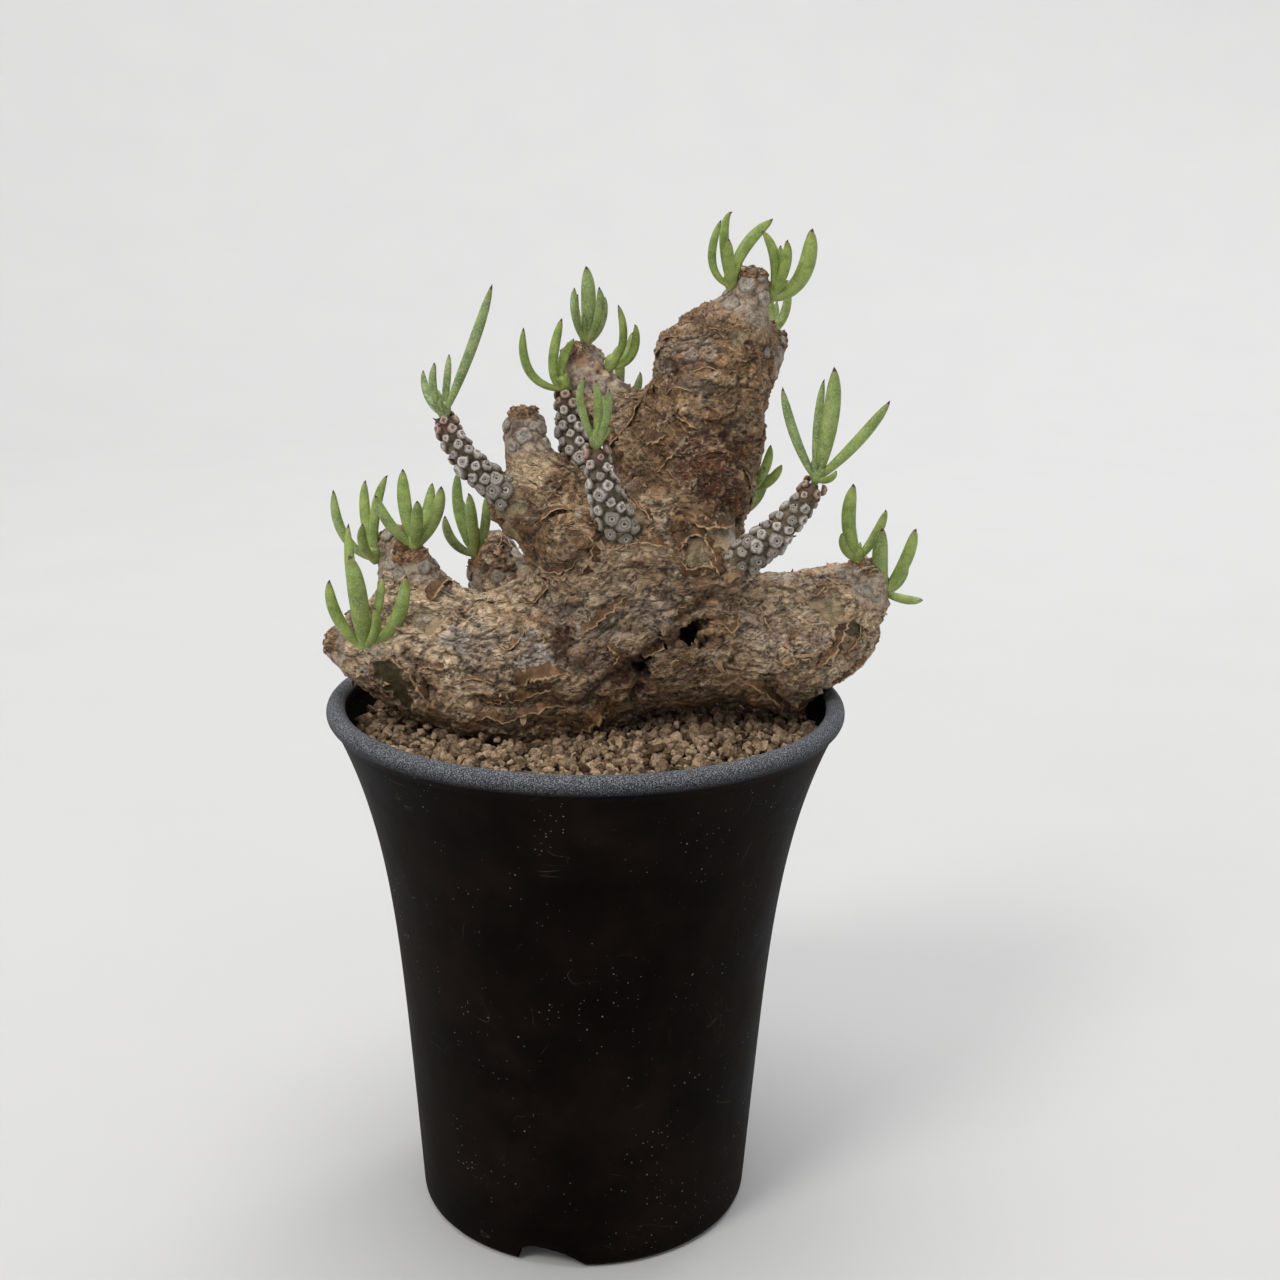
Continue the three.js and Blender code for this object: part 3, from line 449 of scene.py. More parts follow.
def pot_outline():
    """The shell's section: up the outside, over the rolled rim, down inside, and the floor."""
    inner_foot = FOOT_RADIUS - FOOT_RING_WIDTH
    outline = [(inner_foot, 0)]
    for step in range(7):
        turn = math.pi / 2 * step / 6
        radius = FOOT_RADIUS - FOOT_ROUNDING * (1 - math.sin(turn))
        radius += WALL_LEAN * FOOT_ROUNDING * step / 6
        outline.append((radius, FOOT_ROUNDING * (1 - math.cos(turn))))
    wall_top = POT_HEIGHT - 1.9 * ROLL_RADIUS
    heights = [FOOT_ROUNDING + (wall_top - FOOT_ROUNDING) * step / 60 for step in range(1, 60)]
    outline += [(wall_radius(height), height) for height in heights]
    for step in range(29):
        turn = math.radians(-78 + 318 * step / 28)
        radius = RIM_RADIUS - ROLL_RADIUS + ROLL_RADIUS * math.cos(turn)
        outline.append((radius, POT_HEIGHT - ROLL_RADIUS + ROLL_RADIUS * math.sin(turn)))
    for height in reversed([h for h in heights[::3] if h > 2 * FLOOR_TOP]):
        outline.append((wall_radius(height) - WALL_THICKNESS, height))
    outline.append((wall_radius(FLOOR_TOP) - WALL_THICKNESS, FLOOR_TOP))
    outline.append((DRAIN_RADIUS, FLOOR_TOP))
    outline.append((DRAIN_RADIUS, FLOOR_UNDERSIDE))
    outline.append((inner_foot, FLOOR_UNDERSIDE))
    return outline


def notch_cutter(angle):
    """A prism with the notch's arched outline, steep on its left, laid through the foot ring."""
    half = NOTCH_WIDTH / 2
    left, top, right = (-half, 0), (-half * 0.5, 1), (half, 0)
    arch = [(-half, -MM), (-half, 0)]
    for start, bend, stop in ((left, -1.0, top), (top, 0.45, right)):
        for step in range(1, 7):
            t = step / 6
            across = (1 - t) ** 2 * start[0] + 2 * t * (1 - t) * bend * half + t * t * stop[0]
            up = (1 - t) ** 2 * start[1] + 2 * t * (1 - t) + t * t * stop[1]
            arch.append((across, up * NOTCH_HEIGHT))
    arch.append((half, -MM))
    turn = Matrix.Rotation(math.radians(angle + 90), 4, "Z")
    near, far = -FOOT_RADIUS - 4 * MM, -FOOT_RADIUS + 8 * MM
    points = [POT_AXIS + turn @ Vector((x, y, z)) for y in (near, far) for x, z in arch]
    count = len(arch)
    sides = [[i, (i + 1) % count, count + (i + 1) % count, count + i] for i in range(count)]
    faces = sides + [list(range(count)), list(range(2 * count - 1, count - 1, -1))]
    return outward(mesh_object("notch_cutter", points, faces))


def black_plastic():
    """Near-black moulded plastic: a sandy grain, dust, pale specks and hair-fine scuffs, with a
    painted highlight and painted glints along the top of the rolled rim.
    """
    finish = Finish("black_plastic")
    rim = finish.stored("rim")
    clouds = finish.noise(finish.place, 26 * MM, 4.0, 0.6)
    grain = finish.noise(finish.place, 0.25 * MM, 3.0, 0.6)
    dust = finish.ramp(clouds, 0.48, 0.72)
    mottle = finish.ramp(clouds, 0.35, 0.65)
    body = finish.blend(mottle, (0.002, 0.0011, 0.0008), (0.0072, 0.0042, 0.0028))
    body = finish.blend(finish.times(dust, 0.3), body, (0.012, 0.009, 0.008))
    # Painted highlight: the top of the rolled rim is painted grey, with pale glints painted in its
    # grain, for the light that it catches
    rim_highlight_colour = finish.blend(clouds, (0.023, 0.024, 0.027), (0.062, 0.065, 0.072))
    colour = finish.blend(rim, body, rim_highlight_colour)
    rim_glints = finish.ramp(grain, 0.46, 0.64, 0.0, 0.85)
    colour = finish.blend(finish.times(rim_glints, rim), colour, (0.32, 0.335, 0.36))

    cells = finish.cells(finish.place, 1.15 * MM)
    chance = finish.add("ShaderNodeSeparateColor", {0: cells.node.outputs["Color"]})
    crowd = finish.noise(finish.place, 17 * MM, 3.0, 0.65)
    size = finish.ramp(crowd, 0.38, 0.66, 0.01, 0.2)
    dot = finish.math("LESS_THAN", cells, finish.times(size, chance))
    colour = finish.blend(finish.times(dot, 0.85), colour, (0.15, 0.16, 0.18))

    hairs = None
    for pitch, patch in ((23 * MM, 12 * MM), (34 * MM, 15 * MM)):
        path = finish.noise(finish.place, pitch, 2.4, 0.55, 0.7)
        off = finish.math("ABSOLUTE", finish.minus(path, 0.5))
        where = finish.ramp(finish.noise(finish.place, patch, 1.0), 0.6, 0.67)
        shown = finish.times(finish.fall(off, 0.0006, 0.0019), where)
        hairs = shown if hairs is None else finish.most(hairs, shown)
    colour = finish.blend(finish.times(hairs, 0.34), colour, (0.09, 0.085, 0.08))

    rough = finish.ramp(clouds, 0.3, 0.7, 0.5, 0.64)
    dents = finish.bump(finish.noise(finish.place, 9 * MM, 3.0), 0.5 * MM, strength=0.45)
    sand = finish.bump(grain, 0.05 * MM, dents, 0.5)
    edge = finish.bump(finish.times(grain, rim), 0.16 * MM, sand)
    finish.dress(Base_Color=colour, Roughness=rough, Normal=edge)
    return finish.dress(Specular_IOR_Level=0.15, IOR=1.2)


def make_pot():
    """The shell with its notches cut, its wall dented here and there by a tenth of a millimetre."""
    wall = turned_surface("pot_wall", pot_outline(), WALL_STEPS)
    cutters = [notch_cutter(angle) for angle in NOTCH_ANGLES]
    for cutter in cutters:
        cut = wall.modifiers.new("notch", "BOOLEAN")
        cut.operation, cut.solver, cut.object = "DIFFERENCE", "EXACT", cutter
    pot = frozen(wall, "moulded_pot")
    discard(wall, *cutters)
    place = positions(pot.data)
    wobble = WALL_DENT * ripple(place, 45 * MM, 3) * eased(place[:, 2], 20 * MM, 100 * MM)
    outwards = place - np.array(POT_AXIS)
    outwards[:, 2] = 0
    outwards /= np.maximum(norms(outwards), 1e-6)[:, None]
    place += outwards * np.minimum(wobble, 0)[:, None]
    pot.data.vertices.foreach_set("co", place.ravel())
    flat = place - np.array(POT_AXIS)
    reach, height = np.hypot(flat[:, 0], flat[:, 1]), flat[:, 2]
    inside = (reach < RIM_RADIUS - 1.4 * ROLL_RADIUS) & (height < POT_HEIGHT - 0.5 * ROLL_RADIUS)
    # The top of the rolled rim outside, where the finish paints a highlight
    rim = eased(height, POT_HEIGHT - 2.1 * ROLL_RADIUS, POT_HEIGHT - 0.2 * ROLL_RADIUS)
    keep(pot.data, "rim", rim * ~inside)
    pot.data.materials.clear()
    pot.data.materials.append(black_plastic())
    return pot


# Pieces set on seats: each seat is a point that keeps which way its piece faces, how far it is
# spun, its size and its tone
def seats(name, points, facing, size, spin, tone):
    values = {"facing": facing, "size": size, "spin": spin, "tone": tone}
    return mesh_object(name, points, [], **values)


def set_on_seats(name, seated, shapes, finish, seed, rounded=True):
    """Puts one of the shapes on each seat, its own Z along the way the seat faces."""
    values = {"Shapes": shelf(name + "_shapes", shapes), "Finish": finish, "Seed": seed}
    tree = Tree(name, values)
    inputs = tree.inputs
    turn = tree.turned(tree.upright(tree.stored("facing", "FLOAT_VECTOR")), tree.stored("spin"))
    which = tree.random(0, len(shapes) - 1, inputs["Seed"], "INT")
    size = tree.stored("size", "FLOAT_VECTOR")
    placed = tree.set_out(inputs["Geometry"], inputs["Shapes"], which, turn, size)
    tree.end(placed, rounded)
    result = tree.grow_on(seated, name)
    discard(seated, *shapes)
    return result


# Soil: a dark bed under loose granules of baked clay
SOIL_WALL_GAP = 0.9 * MM
BED_FLOOR_GAP = 0.3 * MM
BED_TOP = SOIL_LEVEL - 3.2 * MM
BED_SIDES = 96
BED_RINGS = 26
GRAIN_PITCH = 2.2 * MM
SMALLEST_GRAIN = 1.9 * MM
GRAIN_SPREAD = 2.2 * MM
GRAIN_SHAPES = 9
# How far the granules stray off their grid, in plain millimetres
GRAIN_STRAY = 0.42
# The upper and the lower layer: level against the soil's, and the middle and spread of the tones
GRAIN_LAYERS = (-0.5 * MM, -2.0 * MM)
# The lower layer's tones are low: painted shade between the granules above it
GRAIN_TONES = ((0.52, 0.32), (0.06, 0.08))


def clay_granule():
    """Dry brown clay: each lump has its own tone, with fine pores and dust; the low tones of the
    lower layer and of the bed are painted shade between the granules.
    """
    finish = Finish("clay_granule")
    tone = finish.stored("tone")
    mottle = finish.noise(finish.place, 1.1 * MM, 4.0, 0.65)
    dark = finish.blend(tone, (0.045, 0.026, 0.0135), (0.335, 0.222, 0.132))
    light = finish.blend(tone, (0.168, 0.106, 0.061), (0.69, 0.51, 0.34))
    colour = finish.blend(finish.ramp(mottle, 0.32, 0.68), dark, light)
    pores = finish.noise(finish.place, 0.45 * MM, 4.0, 0.7)
    colour = finish.blend(finish.ramp(pores, 0.32, 0.5, 0.8, 0.0), colour, (0.03, 0.018, 0.01))
    lumps = finish.bump(mottle, 0.5 * MM, strength=0.8)
    grain = finish.bump(pores, 0.28 * MM, lumps)
    return finish.dress(Base_Color=colour, Roughness=0.95, Specular_IOR_Level=0.2, Normal=grain)


def clay_lump(seed):
    """A rough lump about 1 long: the hull of points thrown round a ball, then dented."""
    random = np.random.default_rng(seed)
    ways = random.normal(size=(27, 3))
    ways /= norms(ways)[:, None]
    stretch = random.uniform((0.46, 0.4, 0.34), (0.6, 0.5, 0.46))
    mesh = bmesh.new()
    for way in ways:
        mesh.verts.new(way * stretch * random.uniform(0.8, 1.0))
    hull = bmesh.ops.convex_hull(mesh, input=mesh.verts)
    loose = set(hull["geom_interior"] + hull["geom_unused"])
    loose = [part for part in loose if isinstance(part, bmesh.types.BMVert)]
    bmesh.ops.delete(mesh, geom=loose, context="VERTS")
    for vertex in mesh.verts:
        vertex.co *= random.uniform(0.86, 1.06)
    lump = mesh_object("clay_lump", [], [])
    mesh.to_mesh(lump.data)
    mesh.free()
    lump.data.polygons.foreach_set("use_smooth", [True] * len(lump.data.polygons))
    return lump


def soil_bed(finish):
    """The filling that shows between the granules, uneven on its top, at the lowest tone as painted
    shade.
    """
    depth = BED_TOP - FLOOR_TOP
    heights = [FLOOR_TOP + BED_FLOOR_GAP + depth * step / 10 for step in range(11)]
    rings = [(wall_radius(h) - WALL_THICKNESS - SOIL_WALL_GAP, h) for h in heights]
    edge = rings[-1][0]
    steps = range(1, BED_RINGS + 1)
    across = [(edge * (1 - step / BED_RINGS), heights[-1]) for step in steps]
    bed = turned_surface("soil_bed", [(0, heights[0])] + rings + across, BED_SIDES)
    place = positions(bed.data)
    flat = place[:, 2] > heights[-1] - 0.01 * MM
    place[flat, 2] += 0.5 * MM * ripple(place[flat], 3 * MM, 11)
    bed.data.vertices.foreach_set("co", place.ravel())
    # Tone 0, the darkest: painted shade deep between the granules
    keep(bed.data, "tone", np.zeros(len(place)))
    bed.data.materials.append(finish)
    return bed


def make_soil(bark_tree):
    """Granules in two layers on a jittered grid, left out where the caudex is."""
    finish = clay_granule()
    random = np.random.default_rng(21)
    inner = wall_radius(SOIL_LEVEL) - WALL_THICKNESS
    points, sizes, tones = [], [], []
    steps = int(inner / GRAIN_PITCH) + 2
    for layer, level in enumerate(GRAIN_LAYERS):
        for i in range(-steps, steps + 1):
            for j in range(-steps, steps + 1):
                across = (i + 0.5 * (j % 2) + 0.37 * layer) * GRAIN_PITCH
                along = (j * 0.87 + 0.3 * layer) * GRAIN_PITCH
                stray = Vector(random.normal(size=3)) * GRAIN_STRAY * MM
                place = Vector((across, along, 0)) + stray
                size = SMALLEST_GRAIN + GRAIN_SPREAD * random.random() ** 2.0
                if place.xy.length + size * 0.42 > inner:
                    continue
                place.z = place.z * 1.3 + SOIL_LEVEL + level
                place += POT_AXIS
                near, normal, _, _ = bark_tree.find_nearest(place)
                if (place - near).dot(normal) < 0.25 * size:
                    continue
                points.append(place)
                sizes.append(size)
                tones.append([random.normal(*tone) for tone in GRAIN_TONES][layer])
    count = len(points)
    facing = random.normal(size=(count, 3))
    size = np.array(sizes)[:, None] * random.uniform(0.92, 1.12, (count, 3))
    tone = np.clip(tones, 0, 1)
    seated = seats("grain_seats", points, facing, size, random.uniform(0, 6.28, count), tone)
    lumps = [clay_lump(seed) for seed in range(GRAIN_SHAPES)]
    return set_on_seats("clay_granules", seated, lumps, finish, 5, False), soil_bed(finish)


# Bark of the caudex
CLOSE_PARTS = 1.22 * MM
SMOOTHING_ROUNDS = 7
# Gaps between scales, crumbs of a torn end, and how far the whole bark is set back under the
# form, to make up for the scales that stand on it
GAP_DEPTH = 0.42 * MM
CRUMB_HEIGHT = 3.6 * MM
BARK_DROP = 0.3 * MM

# What the photograph shows on the bark: column, row and radius of each patch, in its pixels
PATCHES = {
    "grey": (
        (590, 630, 30), (566, 655, 22), (655, 610, 26), (600, 660, 22), (525, 652, 22),
        (700, 350, 16), (655, 355, 18), (560, 610, 20), (760, 630, 22), (480, 650, 24),
        (815, 640, 16),
    ),
    "pale": (
        (605, 600, 62), (550, 595, 40), (640, 545, 34), (800, 575, 28), (520, 465, 30),
        (588, 385, 30),
    ),
    "olive": (
        (702, 553, 14), (733, 533, 22), (716, 543, 12), (752, 560, 14), (636, 519, 12),
        (511, 505, 17), (508, 532, 11), (427, 619, 16), (827, 606, 16), (852, 628, 8),
        (836, 648, 7), (391, 677, 19), (405, 700, 10), (738, 338, 9), (478, 560, 12),
        (372, 690, 9),
    ),
    "dark": (
        (391, 677, 22), (405, 700, 14), (372, 690, 12), (478, 560, 14), (852, 628, 10),
        (836, 648, 9),
    ),
    "tan": ((521, 464, 21), (540, 470, 10), (421, 583, 15), (436, 566, 8), (490, 535, 13)),
    "chalk": (
        (537, 659, 16), (529, 634, 9), (550, 672, 7), (364, 673, 5), (381, 650, 5), (455, 640, 12),
        # (735, 541) is painted light: it lightens an olive patch that lies in shade
        (735, 541, 11), (600, 388, 9), (785, 579, 8), (822, 581, 8),
    ),
    "rust": (
        (684, 321, 15), (774, 332, 12), (868, 568, 9), (823, 587, 8), (529, 681, 7),
        (614, 655, 6), (580, 345, 7), (745, 268, 9), (434, 665, 5), (640, 560, 7),
    ),
    "red": (
        (712, 468, 32), (690, 452, 20), (730, 500, 18), (624, 668, 16), (562, 641, 14),
        (335, 640, 14), (640, 690, 10),
    ),
    # Hollows are sunk into the form and painted near black as shade
    "hollow": (
        (643, 657, 6), (690, 634, 9), (640, 667, 6), (646, 673, 5), (700, 643, 6), (662, 640, 4),
    ),
    "torn": (
        (747, 264, 9), (776, 330, 10), (520, 411, 8), (578, 346, 8), (868, 568, 9), (330, 645, 9),
    ),
}
# Kinds that are strewn over the back too, and how rare each is there
BACK_PATCHES = {"grey": 0.6, "olive": 0.66, "chalk": 0.86, "rust": 0.8, "red": 0.7}

# Creases between the swellings: width and depth in millimetres, and the photograph's pixels along
# each
CREASES = (
    (2.6, 3.2, (
        (708, 622), (690, 634), (668, 645), (650, 658), (641, 672), (637, 690), (622, 706),
    )),
    (2.0, 1.6, ((741, 584), (716, 594), (692, 606), (676, 620))),
    (1.6, 1.4, ((641, 672), (618, 676), (596, 690), (578, 708))),
    (1.8, 1.5, ((766, 684), (774, 697), (788, 708))),
    (2.2, 1.5, ((536, 560), (548, 572), (566, 570), (582, 554), (596, 548))),
    (2.4, 1.8, ((600, 531), (616, 541), (634, 538), (646, 528))),
    (1.8, 1.3, ((515, 590), (534, 604), (556, 612), (580, 606))),
    (2.0, 1.6, ((406, 650), (418, 676), (433, 700))),
    (1.6, 1.2, ((452, 668), (480, 676), (512, 686), (548, 690))),
    (1.5, 1.1, ((727, 486), (731, 505), (738, 522))),
    (1.8, 1.2, ((612, 470), (626, 446), (642, 420), (650, 396))),
    (1.7, 1.2, ((780, 606), (792, 634), (800, 660))),
    (2.0, 1.4, ((545, 622), (560, 640), (566, 664), (590, 676))),
    (1.6, 1.2, ((470, 700), (505, 706), (548, 702), (580, 708))),
)
CREASES_BEHIND = (
    (2.4, 2.2, ((24, 26, 60), (12, 29, 48), (4, 33, 36), (-6, 34, 24))),
    (2.2, 1.8, ((30, 30, 44), (42, 34, 30), (44, 34, 16))),
    (2.0, 1.6, ((-14, 30, 36), (-26, 32, 26), (-34, 30, 12))),
    (2.0, 1.5, ((12, 26, 84), (22, 28, 74), (34, 26, 70))),
)

# Stubs of old branches: path in the plant's frame, and the radius at its foot and its top
STUBS = (
    (((33.5, 7, 88), (35, 7, 97), (36, 7, 104.2)), 6.4, 4.7),
    (((-13, 4, 60), (-14.5, 4.5, 67), (-14.8, 5, 73.2)), 6.4, 4.1),
    (((3, 14.5, 73), (-2, 15, 80), (-1.2, 15, 86)), 7.2, 4.8),
    (((-20, 25, 29), (-24, 28, 36), (-25, 28.5, 40)), 6, 4.4),
    (((-43, 8.5, 33), (-46.4, 9, 44)), 6.4, 4.1),
    (((-53, -1, 18), (-60, -1.5, 20.4)), 6.6, 3.9),
    (((-37, 5, 30), (-39.7, 4, 39.6)), 5.4, 3.2),
    (((64, 8, 27), (65.4, 8, 37.4)), 7, 4.4),
    (((37, 11, 80), (42.4, 13, 88.6)), 5.6, 3.6),
    (((-25, 22, 22), (-27.4, 21.2, 34.4)), 4.4, 2.9),
    (((33, 33, 35), (34.7, 34.1, 42.4)), 5, 3.4),
)
# Fuller places of the bark, in the same terms
SWELLINGS = (
    (((30, 8, 83), (24.4, 8, 90.6)), 7.8, 6.4),
    (((12, 6, 60), (17, 7, 70)), 8, 5),
    (((-22, 19, 27), (-23, 19, 41)), 4.8, 3.4),
    (((29, 9.5, 51), (35.9, 11.7, 54)), 5.6, 3.8),
)
STUB_SIDES = 16
STUB_RINGS = 9
STUB_ROUNDING = 0.8
# Stations of a line along a crease or an edge: in front, and behind
SEEN_STATIONS = 20
CREASE_STATIONS = 20
EDGE_STATIONS = 24
# Levels above the soil, in millimetres, below which the bark of the body grows paler, and darker
# towards the soil
PALE_BELOW = 46
DARKER_BELOW = 9


def seen_on(surface, column, row):
    """The place and normal of a surface at a pixel of the photograph, or else the nearest ones."""
    ray = view_ray(column, row)
    place, normal, _, _ = surface.ray_cast(CAMERA_PLACE, ray)
    if place is None:
        beside = CAMERA_PLACE + ray * (CAMERA_PLACE - POT_AXIS).xy.length / ray.y
        place, normal, _, _ = surface.find_nearest(beside)
    return place, normal


def pixel_size(place):
    """How much of the object a pixel of the photograph covers at a place."""
    return (place - CAMERA_PLACE).length / (CAMERA_LENS / CAMERA_SENSOR * PHOTO_SIDE)


def surface_of(subject):
    return BVHTree.FromObject(subject, bpy.context.evaluated_depsgraph_get())


def stub_body(path, foot, top):
    """A closed tapered tube along a short path, rounded over at its top."""
    line = smooth_line(path, STUB_RINGS)
    last, points = STUB_RINGS - 1, []
    for number, place in enumerate(line):
        ahead = Vector(line[min(number + 1, last)] - line[max(number - 1, 0)]).normalized()
        right = ahead.orthogonal().normalized()
        radius = foot + (top - foot) * number / last
        radius *= STUB_ROUNDING if number == last else 1
        for side in range(STUB_SIDES):
            turn = 2 * math.pi * side / STUB_SIDES
            around = math.cos(turn) * right + math.sin(turn) * ahead.cross(right)
            points.append(plant(Vector(place) + radius * around))
    faces = [list(range(STUB_SIDES)), list(range(last * STUB_SIDES, STUB_RINGS * STUB_SIDES))]
    for side in range(STUB_SIDES):
        faces += side_faces(side, STUB_SIDES, STUB_RINGS)
    return outward(mesh_object("stub_body", points, faces))


def caudex_form():
    """The solid's form with fuller stubs and no facets, in a fine even mesh."""
    rough = outward(in_scene("caudex_form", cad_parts["caudex"].data.copy()))
    whole = bmesh.new()
    whole.from_mesh(rough.data)
    for body in [stub_body(*stub) for stub in STUBS + SWELLINGS]:
        whole.from_mesh(body.data)
        discard(body)
    whole.to_mesh(rough.data)
    whole.free()
    remesh = rough.modifiers.new("remesh", "REMESH")
    remesh.mode, remesh.voxel_size = "VOXEL", CLOSE_PARTS
    smooth = rough.modifiers.new("smooth", "SMOOTH")
    smooth.iterations = SMOOTHING_ROUNDS
    finer = rough.modifiers.new("finer", "SUBSURF")
    finer.levels = finer.render_levels = 1
    form = frozen(rough, "caudex_fine_form")
    discard(rough)
    return form


def sink_creases(form, surface):
    """Presses soft creases into the form, and keeps how deep each point lies in one, for the
    painted shade that the bark's finish puts there.
    """
    place = positions(form.data)
    normals = normals_of(form.data)
    wander = 1 + 0.3 * ripple(place, 5 * MM, 51)
    depth, shade = np.zeros((2, len(place)))
    every = []
    for wide, deep, pixels in CREASES:
        spots = [seen_on(surface, column, row)[0] for column, row, _ in seen_line(pixels)]
        every.append((wide, deep, spots))
    for wide, deep, points in CREASES_BEHIND:
        line = smooth_line(points, CREASE_STATIONS)
        every.append((wide, deep, [surface.find_nearest(plant(point))[0] for point in line]))
    for wide, deep, spots in every:
        reach = np.full(len(place), 1.0)
        for number, spot in enumerate(spots):
            narrow = 0.45 + 0.55 * math.sin(math.pi * number / (len(spots) - 1))
            reach = np.minimum(reach, norms(place - np.array(spot)) / narrow)
        share = np.exp(-(reach / (wide * MM * wander)) ** 2)
        depth = np.maximum(depth, deep * MM * share)
        shade = np.maximum(shade, share * min(1, deep / 2))
    place -= normals * depth[:, None]
    form.data.vertices.foreach_set("co", place.ravel())
    form.data.update()
    keep(form.data, "crease", shade)


def seen_line(pixels):
    """Pixels spread evenly on a smooth line through those given."""
    return smooth_line([(*pixel, 0) for pixel in pixels], SEEN_STATIONS)


def mark_patches(form, surface):
    """Keeps on each point of the bark how much of each kind of patch is there."""
    place = positions(form.data)
    flat = (place - np.array(plant((0, 0, 0)))) / MM
    edge = 0.33 * ripple(place, 4.5 * MM, 5) + 0.2 * ripple(place, 1.8 * MM, 6)
    behind = eased(flat[:, 1], 8, 16)
    found = {}
    for number, (kind, spots) in enumerate(PATCHES.items()):
        share = np.zeros(len(place))
        for column, row, radius in spots:
            centre, _ = seen_on(surface, column, row)
            reach = norms(place - np.array(centre)) / (radius * pixel_size(centre))
            ragged = 2.2 * edge if kind == "hollow" else edge
            share = np.maximum(share, eased(1.25 - reach + ragged, 0, 0.35))
        if kind in BACK_PATCHES:
            wander = 0.5 + 0.5 * ripple(place, 19 * MM, 30 + number)
            level = BACK_PATCHES[kind]
            share = np.maximum(share, behind * eased(wander + 0.2 * edge, level, level + 0.06))
        found[kind] = share
    stub = np.zeros(len(place))
    torn = found["torn"]
    for path, _, radius in STUBS:
        foot, top = np.array(path[0], float), np.array(path[-1], float)
        along = np.clip(((flat - foot) @ (top - foot)) / ((top - foot) @ (top - foot)), 0, 1)
        reach = norms(flat - foot - along[:, None] * (top - foot))
        here = eased(1.9 - reach / radius, 0, 0.4)
        stub = np.maximum(stub, here * eased(along + 0.1 * edge, 0.05, 0.4))
        past = (flat - top) @ (top - foot) / np.linalg.norm(top - foot)
        torn = np.maximum(torn, here * eased(past + 0.6 * edge, -1.4, -0.4))
    found["torn"] = torn
    found["stub"] = stub * (1 - torn)
    body = eased(-flat[:, 2], -PALE_BELOW, 10 - PALE_BELOW)
    limb = eased(-flat[:, 0], 0, 16) * eased(-flat[:, 2], -PALE_BELOW, 12 - PALE_BELOW)
    lobe = eased(flat[:, 0], 26, 42) * body
    found["pale"] = np.max([limb, 0.9 * lobe, 0.8 * found["pale"], 0.24 * body], axis=0)
    found["damp"] = eased(-flat[:, 2] + 2.5 * edge, -DARKER_BELOW, 0)
    for kind, share in found.items():
        keep(form.data, kind, share)
    keep(form.data, "soft_normal", normals_of(form.data))


def bark_place(nodes, place):
    """Where a pattern of the bark is read: the scales lie wider than tall."""
    lying = nodes.vector("MULTIPLY", place, (0.62, 0.8, 1.25))
    return nodes.warped(nodes.warped(lying, 8 * MM, 2.6 * MM), 2.0 * MM, 0.7 * MM)


def peel_bark(form):
    """Raises scales, torn layers, patch borders and wrinkles on the smooth form."""
    heights = {"Scale height": 0.28 * MM, "Lip height": 0.42 * MM, "Layer height": 0.5 * MM}
    heights.update({"Hollow depth": 4.5 * MM, "Border height": 0.9 * MM})
    tree = Tree("peeling_bark", {**heights, "Finish": bark_finish()})
    inputs = tree.inputs
    place = tree.add("GeometryNodeInputPosition")
    wavy = bark_place(tree, place)
    large, _, large_lip, large_gap = tree.scales(wavy, 6.2 * MM)
    small, _, small_lip, small_gap = tree.scales(wavy, 2.1 * MM)
    torn_noise = tree.noise(wavy, 15 * MM, 5.0, 0.55)
    layer = tree.ramp(torn_noise, 0.5, 0.512)
    layer_lip = tree.times(layer, tree.fall(torn_noise, 0.51, 0.54))
    crumbs = tree.noise(place, 1.2 * MM, 4.0, 0.7)

    lips = tree.most(large_lip, tree.times(small_lip, 0.6), layer_lip)
    scale = tree.times(small, 0.5, large)
    gaps = tree.most(large_gap, small_gap)
    height = tree.total(
        (scale, inputs["Scale height"]), (lips, inputs["Lip height"]),
        (layer, inputs["Layer height"]), (gaps, -GAP_DEPTH),
    )

    olive, tan, stub = tree.stored("olive"), tree.stored("tan"), tree.stored("stub")
    bare = tree.most(olive, tree.times(tan, 0.75), tree.times(stub, 0.8))
    covered = tree.minus(1.0, tree.times(bare, 0.93))
    height = tree.times(height, covered)
    border = tree.times(tree.ramp(olive, 0.04, 0.3), tree.fall(olive, 0.3, 0.7))
    height = tree.times(border, inputs["Border height"], height)
    crumbled = tree.times(tree.minus(crumbs, 0.42), CRUMB_HEIGHT)
    height = tree.times(crumbled, tree.stored("torn"), height)
    sunk = tree.times(tree.stored("hollow"), inputs["Hollow depth"])
    height = tree.minus(tree.minus(height, sunk), BARK_DROP)

    push = tree.scaled(tree.stored("soft_normal", "FLOAT_VECTOR"), height)
    raised = tree.moved(inputs["Geometry"], push)
    raised = tree.store(raised, "lip", tree.most(tree.times(lips, covered), border))
    # The gaps at the scales' low edges, which the finish paints dark as shade
    raised = tree.store(raised, "gap", tree.times(gaps, covered))
    raised = tree.store(raised, "scale", scale)
    tree.end(raised)
    return tree.grow_on(form, "peeling_caudex")


def bark_browns(finish, share, pale):
    """Dark, middle and light brown by a share; greyer and paler where pale is high."""
    dark = finish.blend(pale, (0.034, 0.015, 0.006), (0.066, 0.034, 0.015))
    middle = finish.blend(pale, (0.138, 0.072, 0.030), (0.49, 0.34, 0.205))
    light = finish.blend(pale, (0.40, 0.245, 0.122), (0.88, 0.69, 0.47))
    colour = finish.blend(finish.ramp(share, 0.12, 0.5), dark, middle)
    return finish.blend(finish.ramp(share, 0.5, 0.92), colour, light)


